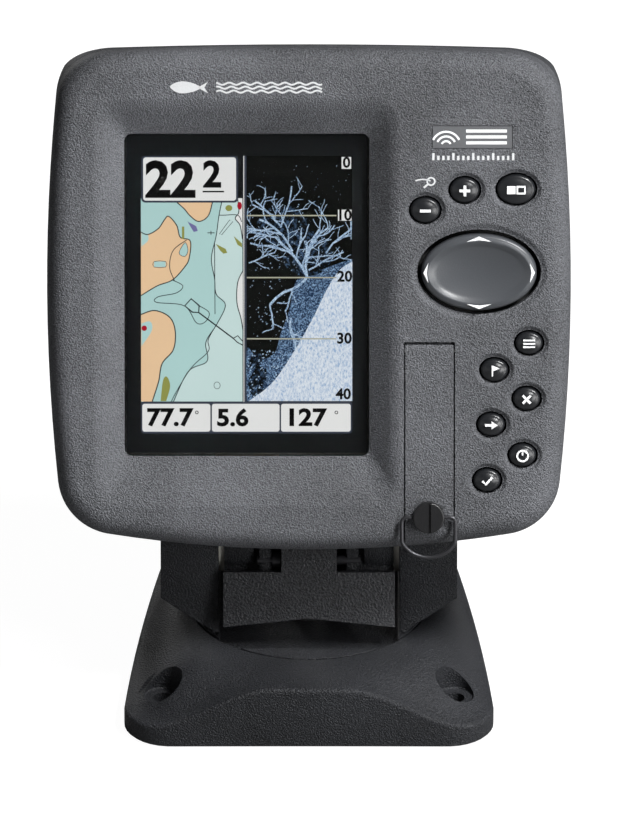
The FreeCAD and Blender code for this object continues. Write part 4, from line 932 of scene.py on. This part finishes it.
def mound_height(x, y, reach):
    """Height of the base: a ring round the swivel, a tongue to the front, and a low rim."""
    radius = math.hypot(x, y)
    ring = ease(1 - max((radius - POCKET - 0.8) / (reach - POCKET - 0.8), 0.0) ** 1.35)
    tongue = ease(1 - (abs(x) - 9.0) / 33.0) * ease(-y / 18.0)
    return BASE_EDGE + (BASE_TOP - BASE_EDGE) * (1 - (1 - ring) * (1 - tongue))


def outline_reach(tree, angle):
    """How far the plan outline lies from the swivel axis in a direction."""
    away = Vector((math.cos(angle), math.sin(angle), 0))
    hit = tree.ray_cast(away * 0.2 + Vector((0, 0, 0.0025)), -away)
    return hit[0].xy.length / MM


def base_skin():
    """A smooth mound with a hollow underside, four screw wells and the swivel's pocket."""
    shape = merged_copy("mounting_base")
    tree = BVHTree.FromBMesh(shape)
    shape.free()
    segments = 180
    points, faces = [], []
    rings = 0
    for part in range(segments):
        angle = 2 * math.pi * part / segments
        reach = outline_reach(tree, angle)
        across, along = math.cos(angle), math.sin(angle)

        def at(radius, height):
            points.append((across * radius, along * radius, height))

        def top(radius):
            return mound_height(across * radius, along * radius, reach)

        start = len(points)
        at(BOLT_WAY, WEB)
        at(BOLT_WAY, POCKET_FLOOR)
        at(POCKET, POCKET_FLOOR)
        at(POCKET, BASE_TOP - 0.4)
        at(POCKET + 0.4, BASE_TOP)
        inner, outer = POCKET + 0.9, reach - ROLL
        for step in range(19):
            radius = inner + (outer - inner) * step / 18
            at(radius, top(radius))
        for turn_ in (18, 36, 54, 72, 90):
            swing = math.radians(turn_)
            radius = outer + ROLL * math.sin(swing)
            at(radius, top(radius) - ROLL * (1 - math.cos(swing)))
        at(reach, 0.5)
        at(reach - 0.5, 0.0)
        at(reach - WALL, 0.0)
        for step in range(7):
            radius = reach - WALL + (POCKET + WALL - reach + WALL) * step / 6
            at(radius, max(top(radius) - WALL, 1.5))
        at(POCKET + WALL, WEB)
        rings = len(points) - start
    for part in range(segments):
        here, there = part * rings, (part + 1) % segments * rings
        for ring in range(rings):
            after = (ring + 1) % rings
            faces.append((here + ring, there + ring, there + after, here + after))
    mesh = mesh_from("mounting_base_skin", points, faces)
    posts, wells = [], []
    for x, y in WELL_SPOTS:
        reach = outline_reach(tree, math.atan2(y, x))
        posts.append(turned_column("post", (x, y), [(6.8, 0.0), (6.8, "top")], reach))
        well = [(2.5, -1.0), (2.5, 7.0), (4.5, 7.0), (4.85, 7.4), (4.85, 19.0)]
        wells.append(turned_column("well", (x, y), well, reach))
    mesh = carved("mounting_base_skin", mesh, joined("posts", posts), "UNION")
    mesh = carved("mounting_base_skin", mesh, joined("wells", wells))
    shade(mesh, 32)
    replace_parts(add_piece("mounting_base_skin", mesh, "base", MOUNT, Matrix.Scale(MM, 4)), "mounting_base")


def turned_column(name, spot, rings, reach, segments=40):
    """A round column at a spot, given as radii and heights; "top" means just under the mound."""
    points = []
    for radius, height in rings:
        for step in range(segments):
            angle = 2 * math.pi * step / segments
            x, y = spot[0] + radius * math.cos(angle), spot[1] + radius * math.sin(angle)
            points.append((x, y, mound_height(x, y, reach) - 1.5 if height == "top" else height))
    faces = ring_faces(len(rings), segments) + [tuple(range(segments))]
    last = (len(rings) - 1) * segments
    middle = len(points)
    height = sum(point[2] for point in points[last:]) / segments
    points.append((*spot, height))
    faces += [(last + step, last + (step + 1) % segments, middle) for step in range(segments)]
    return mesh_from(name, points, faces)


def mount_skins():
    """The mount's moulded pieces again, with their edges rolled."""
    softened("swivel_yoke", 0.9, "yoke", MOUNT, angle=25)
    softened("tilt_carrier", 0.5, "carrier", MOUNT)
    softened("release_latch", 0.5, "latch", LATCH)
    softened("connector_holder", 0.3, "carrier", BLACK)


bezel_skin()
rear_skin()
base_skin()
mount_skins()
face_signs()
white_ink = chart()
sonar()
read_outs(white_ink)


# ------------------------------------------------------------------ studio

FLOOR_GLOW = 0.97
FLOOR_HALF = 6.0
FLOOR_TONE = 0.22
AMBIENT = 0.05
LAMP_AIM = (0, 0, 0.09)
# camera: degrees above level, distance and target in metres, the width that it takes in, sensor in mm
CAMERA_HEIGHT = 29
CAMERA_DISTANCE = 5.0
CAMERA_TARGET = (0.0009, 0, 0.0722)
VIEW_WIDE = 0.1578
SENSOR = 36
# soft boxes: name, place, side and power; the key comes from the upper right in front
SOFT_BOXES = [("key", (0.48, -0.3, 0.86), 0.22, 13.5), ("fill", (-1.1, -1.2, 0.5), 0.9, 1.4),
              ("side", (0.36, -0.3, 0.22), 0.15, 0.8), ("edge", (1.3, 0.1, 0.12), 0.4, 1.2),
              ("front", (0.5, -0.6, 0.08), 0.25, 1.35), ("back", (-0.6, 1.5, 0.14), 0.24, 2.0)]


def studio():
    scene = bpy.context.scene
    scene.view_settings.view_transform = "Standard"
    floor_mesh = bpy.data.meshes.new("floor")
    half = FLOOR_HALF
    floor_mesh.from_pydata([(-half, -half, 0), (half, -half, 0), (half, half, 0), (-half, half, 0)], [],
                           [(0, 1, 2, 3)])
    floor = bpy.data.objects.new("floor", floor_mesh)
    floor.location = (0, 0, -0.0004)
    scene.collection.objects.link(floor)
    paper, tree, shader = new_material("white paper floor")
    shader.inputs["Base Color"].default_value = (*[FLOOR_TONE] * 3, 1)
    shader.inputs["Roughness"].default_value = 0.9
    shader.inputs["Specular IOR Level"].default_value = 0.0
    shader.inputs["Emission Color"].default_value = (1, 1, 1, 1)
    seen = tree.nodes.new("ShaderNodeLightPath")
    glow = tree.nodes.new("ShaderNodeMath")
    glow.operation = "MULTIPLY"
    glow.inputs[1].default_value = FLOOR_GLOW
    tree.links.new(seen.outputs["Is Camera Ray"], glow.inputs[0])
    tree.links.new(glow.outputs[0], shader.inputs["Emission Strength"])
    floor.data.materials.append(paper)
    world = bpy.data.worlds.new("studio")
    scene.world = world
    world.use_nodes = True
    tree = world.node_tree
    background = tree.nodes["Background"]
    background.inputs["Color"].default_value = (1, 1, 1, 1)
    seen = tree.nodes.new("ShaderNodeLightPath")
    sky = tree.nodes.new("ShaderNodeMapRange")
    sky.inputs["To Min"].default_value = AMBIENT
    sky.inputs["To Max"].default_value = 1.0
    tree.links.new(seen.outputs["Is Camera Ray"], sky.inputs["Value"])
    tree.links.new(sky.outputs["Result"], background.inputs["Strength"])
    for name, place, size, power in SOFT_BOXES:
        soft_box(name, place, size, power)


def soft_box(name, place, size, power):
    lamp = bpy.data.lights.new(name, "AREA")
    lamp.size = size
    lamp.energy = power
    holder = bpy.data.objects.new(name, lamp)
    holder.location = place
    aim = Vector(LAMP_AIM) - Vector(place)
    holder.rotation_euler = aim.to_track_quat("-Z", "Y").to_euler()
    holder.visible_camera = False
    bpy.context.scene.collection.objects.link(holder)


def camera():
    """A long lens, looking down at the object from in front."""
    elevation = math.radians(CAMERA_HEIGHT)
    target = Vector(CAMERA_TARGET)
    view = Vector((0, -math.cos(elevation), math.sin(elevation)))
    lens = bpy.data.cameras.new("camera")
    lens.sensor_fit = "HORIZONTAL"
    lens.sensor_width = SENSOR
    lens.lens = SENSOR * CAMERA_DISTANCE / VIEW_WIDE
    holder = bpy.data.objects.new("camera", lens)
    holder.location = target + view * CAMERA_DISTANCE
    holder.rotation_euler = (-view).to_track_quat("-Z", "Y").to_euler()
    bpy.context.scene.collection.objects.link(holder)
    bpy.context.scene.camera = holder


studio()
camera()
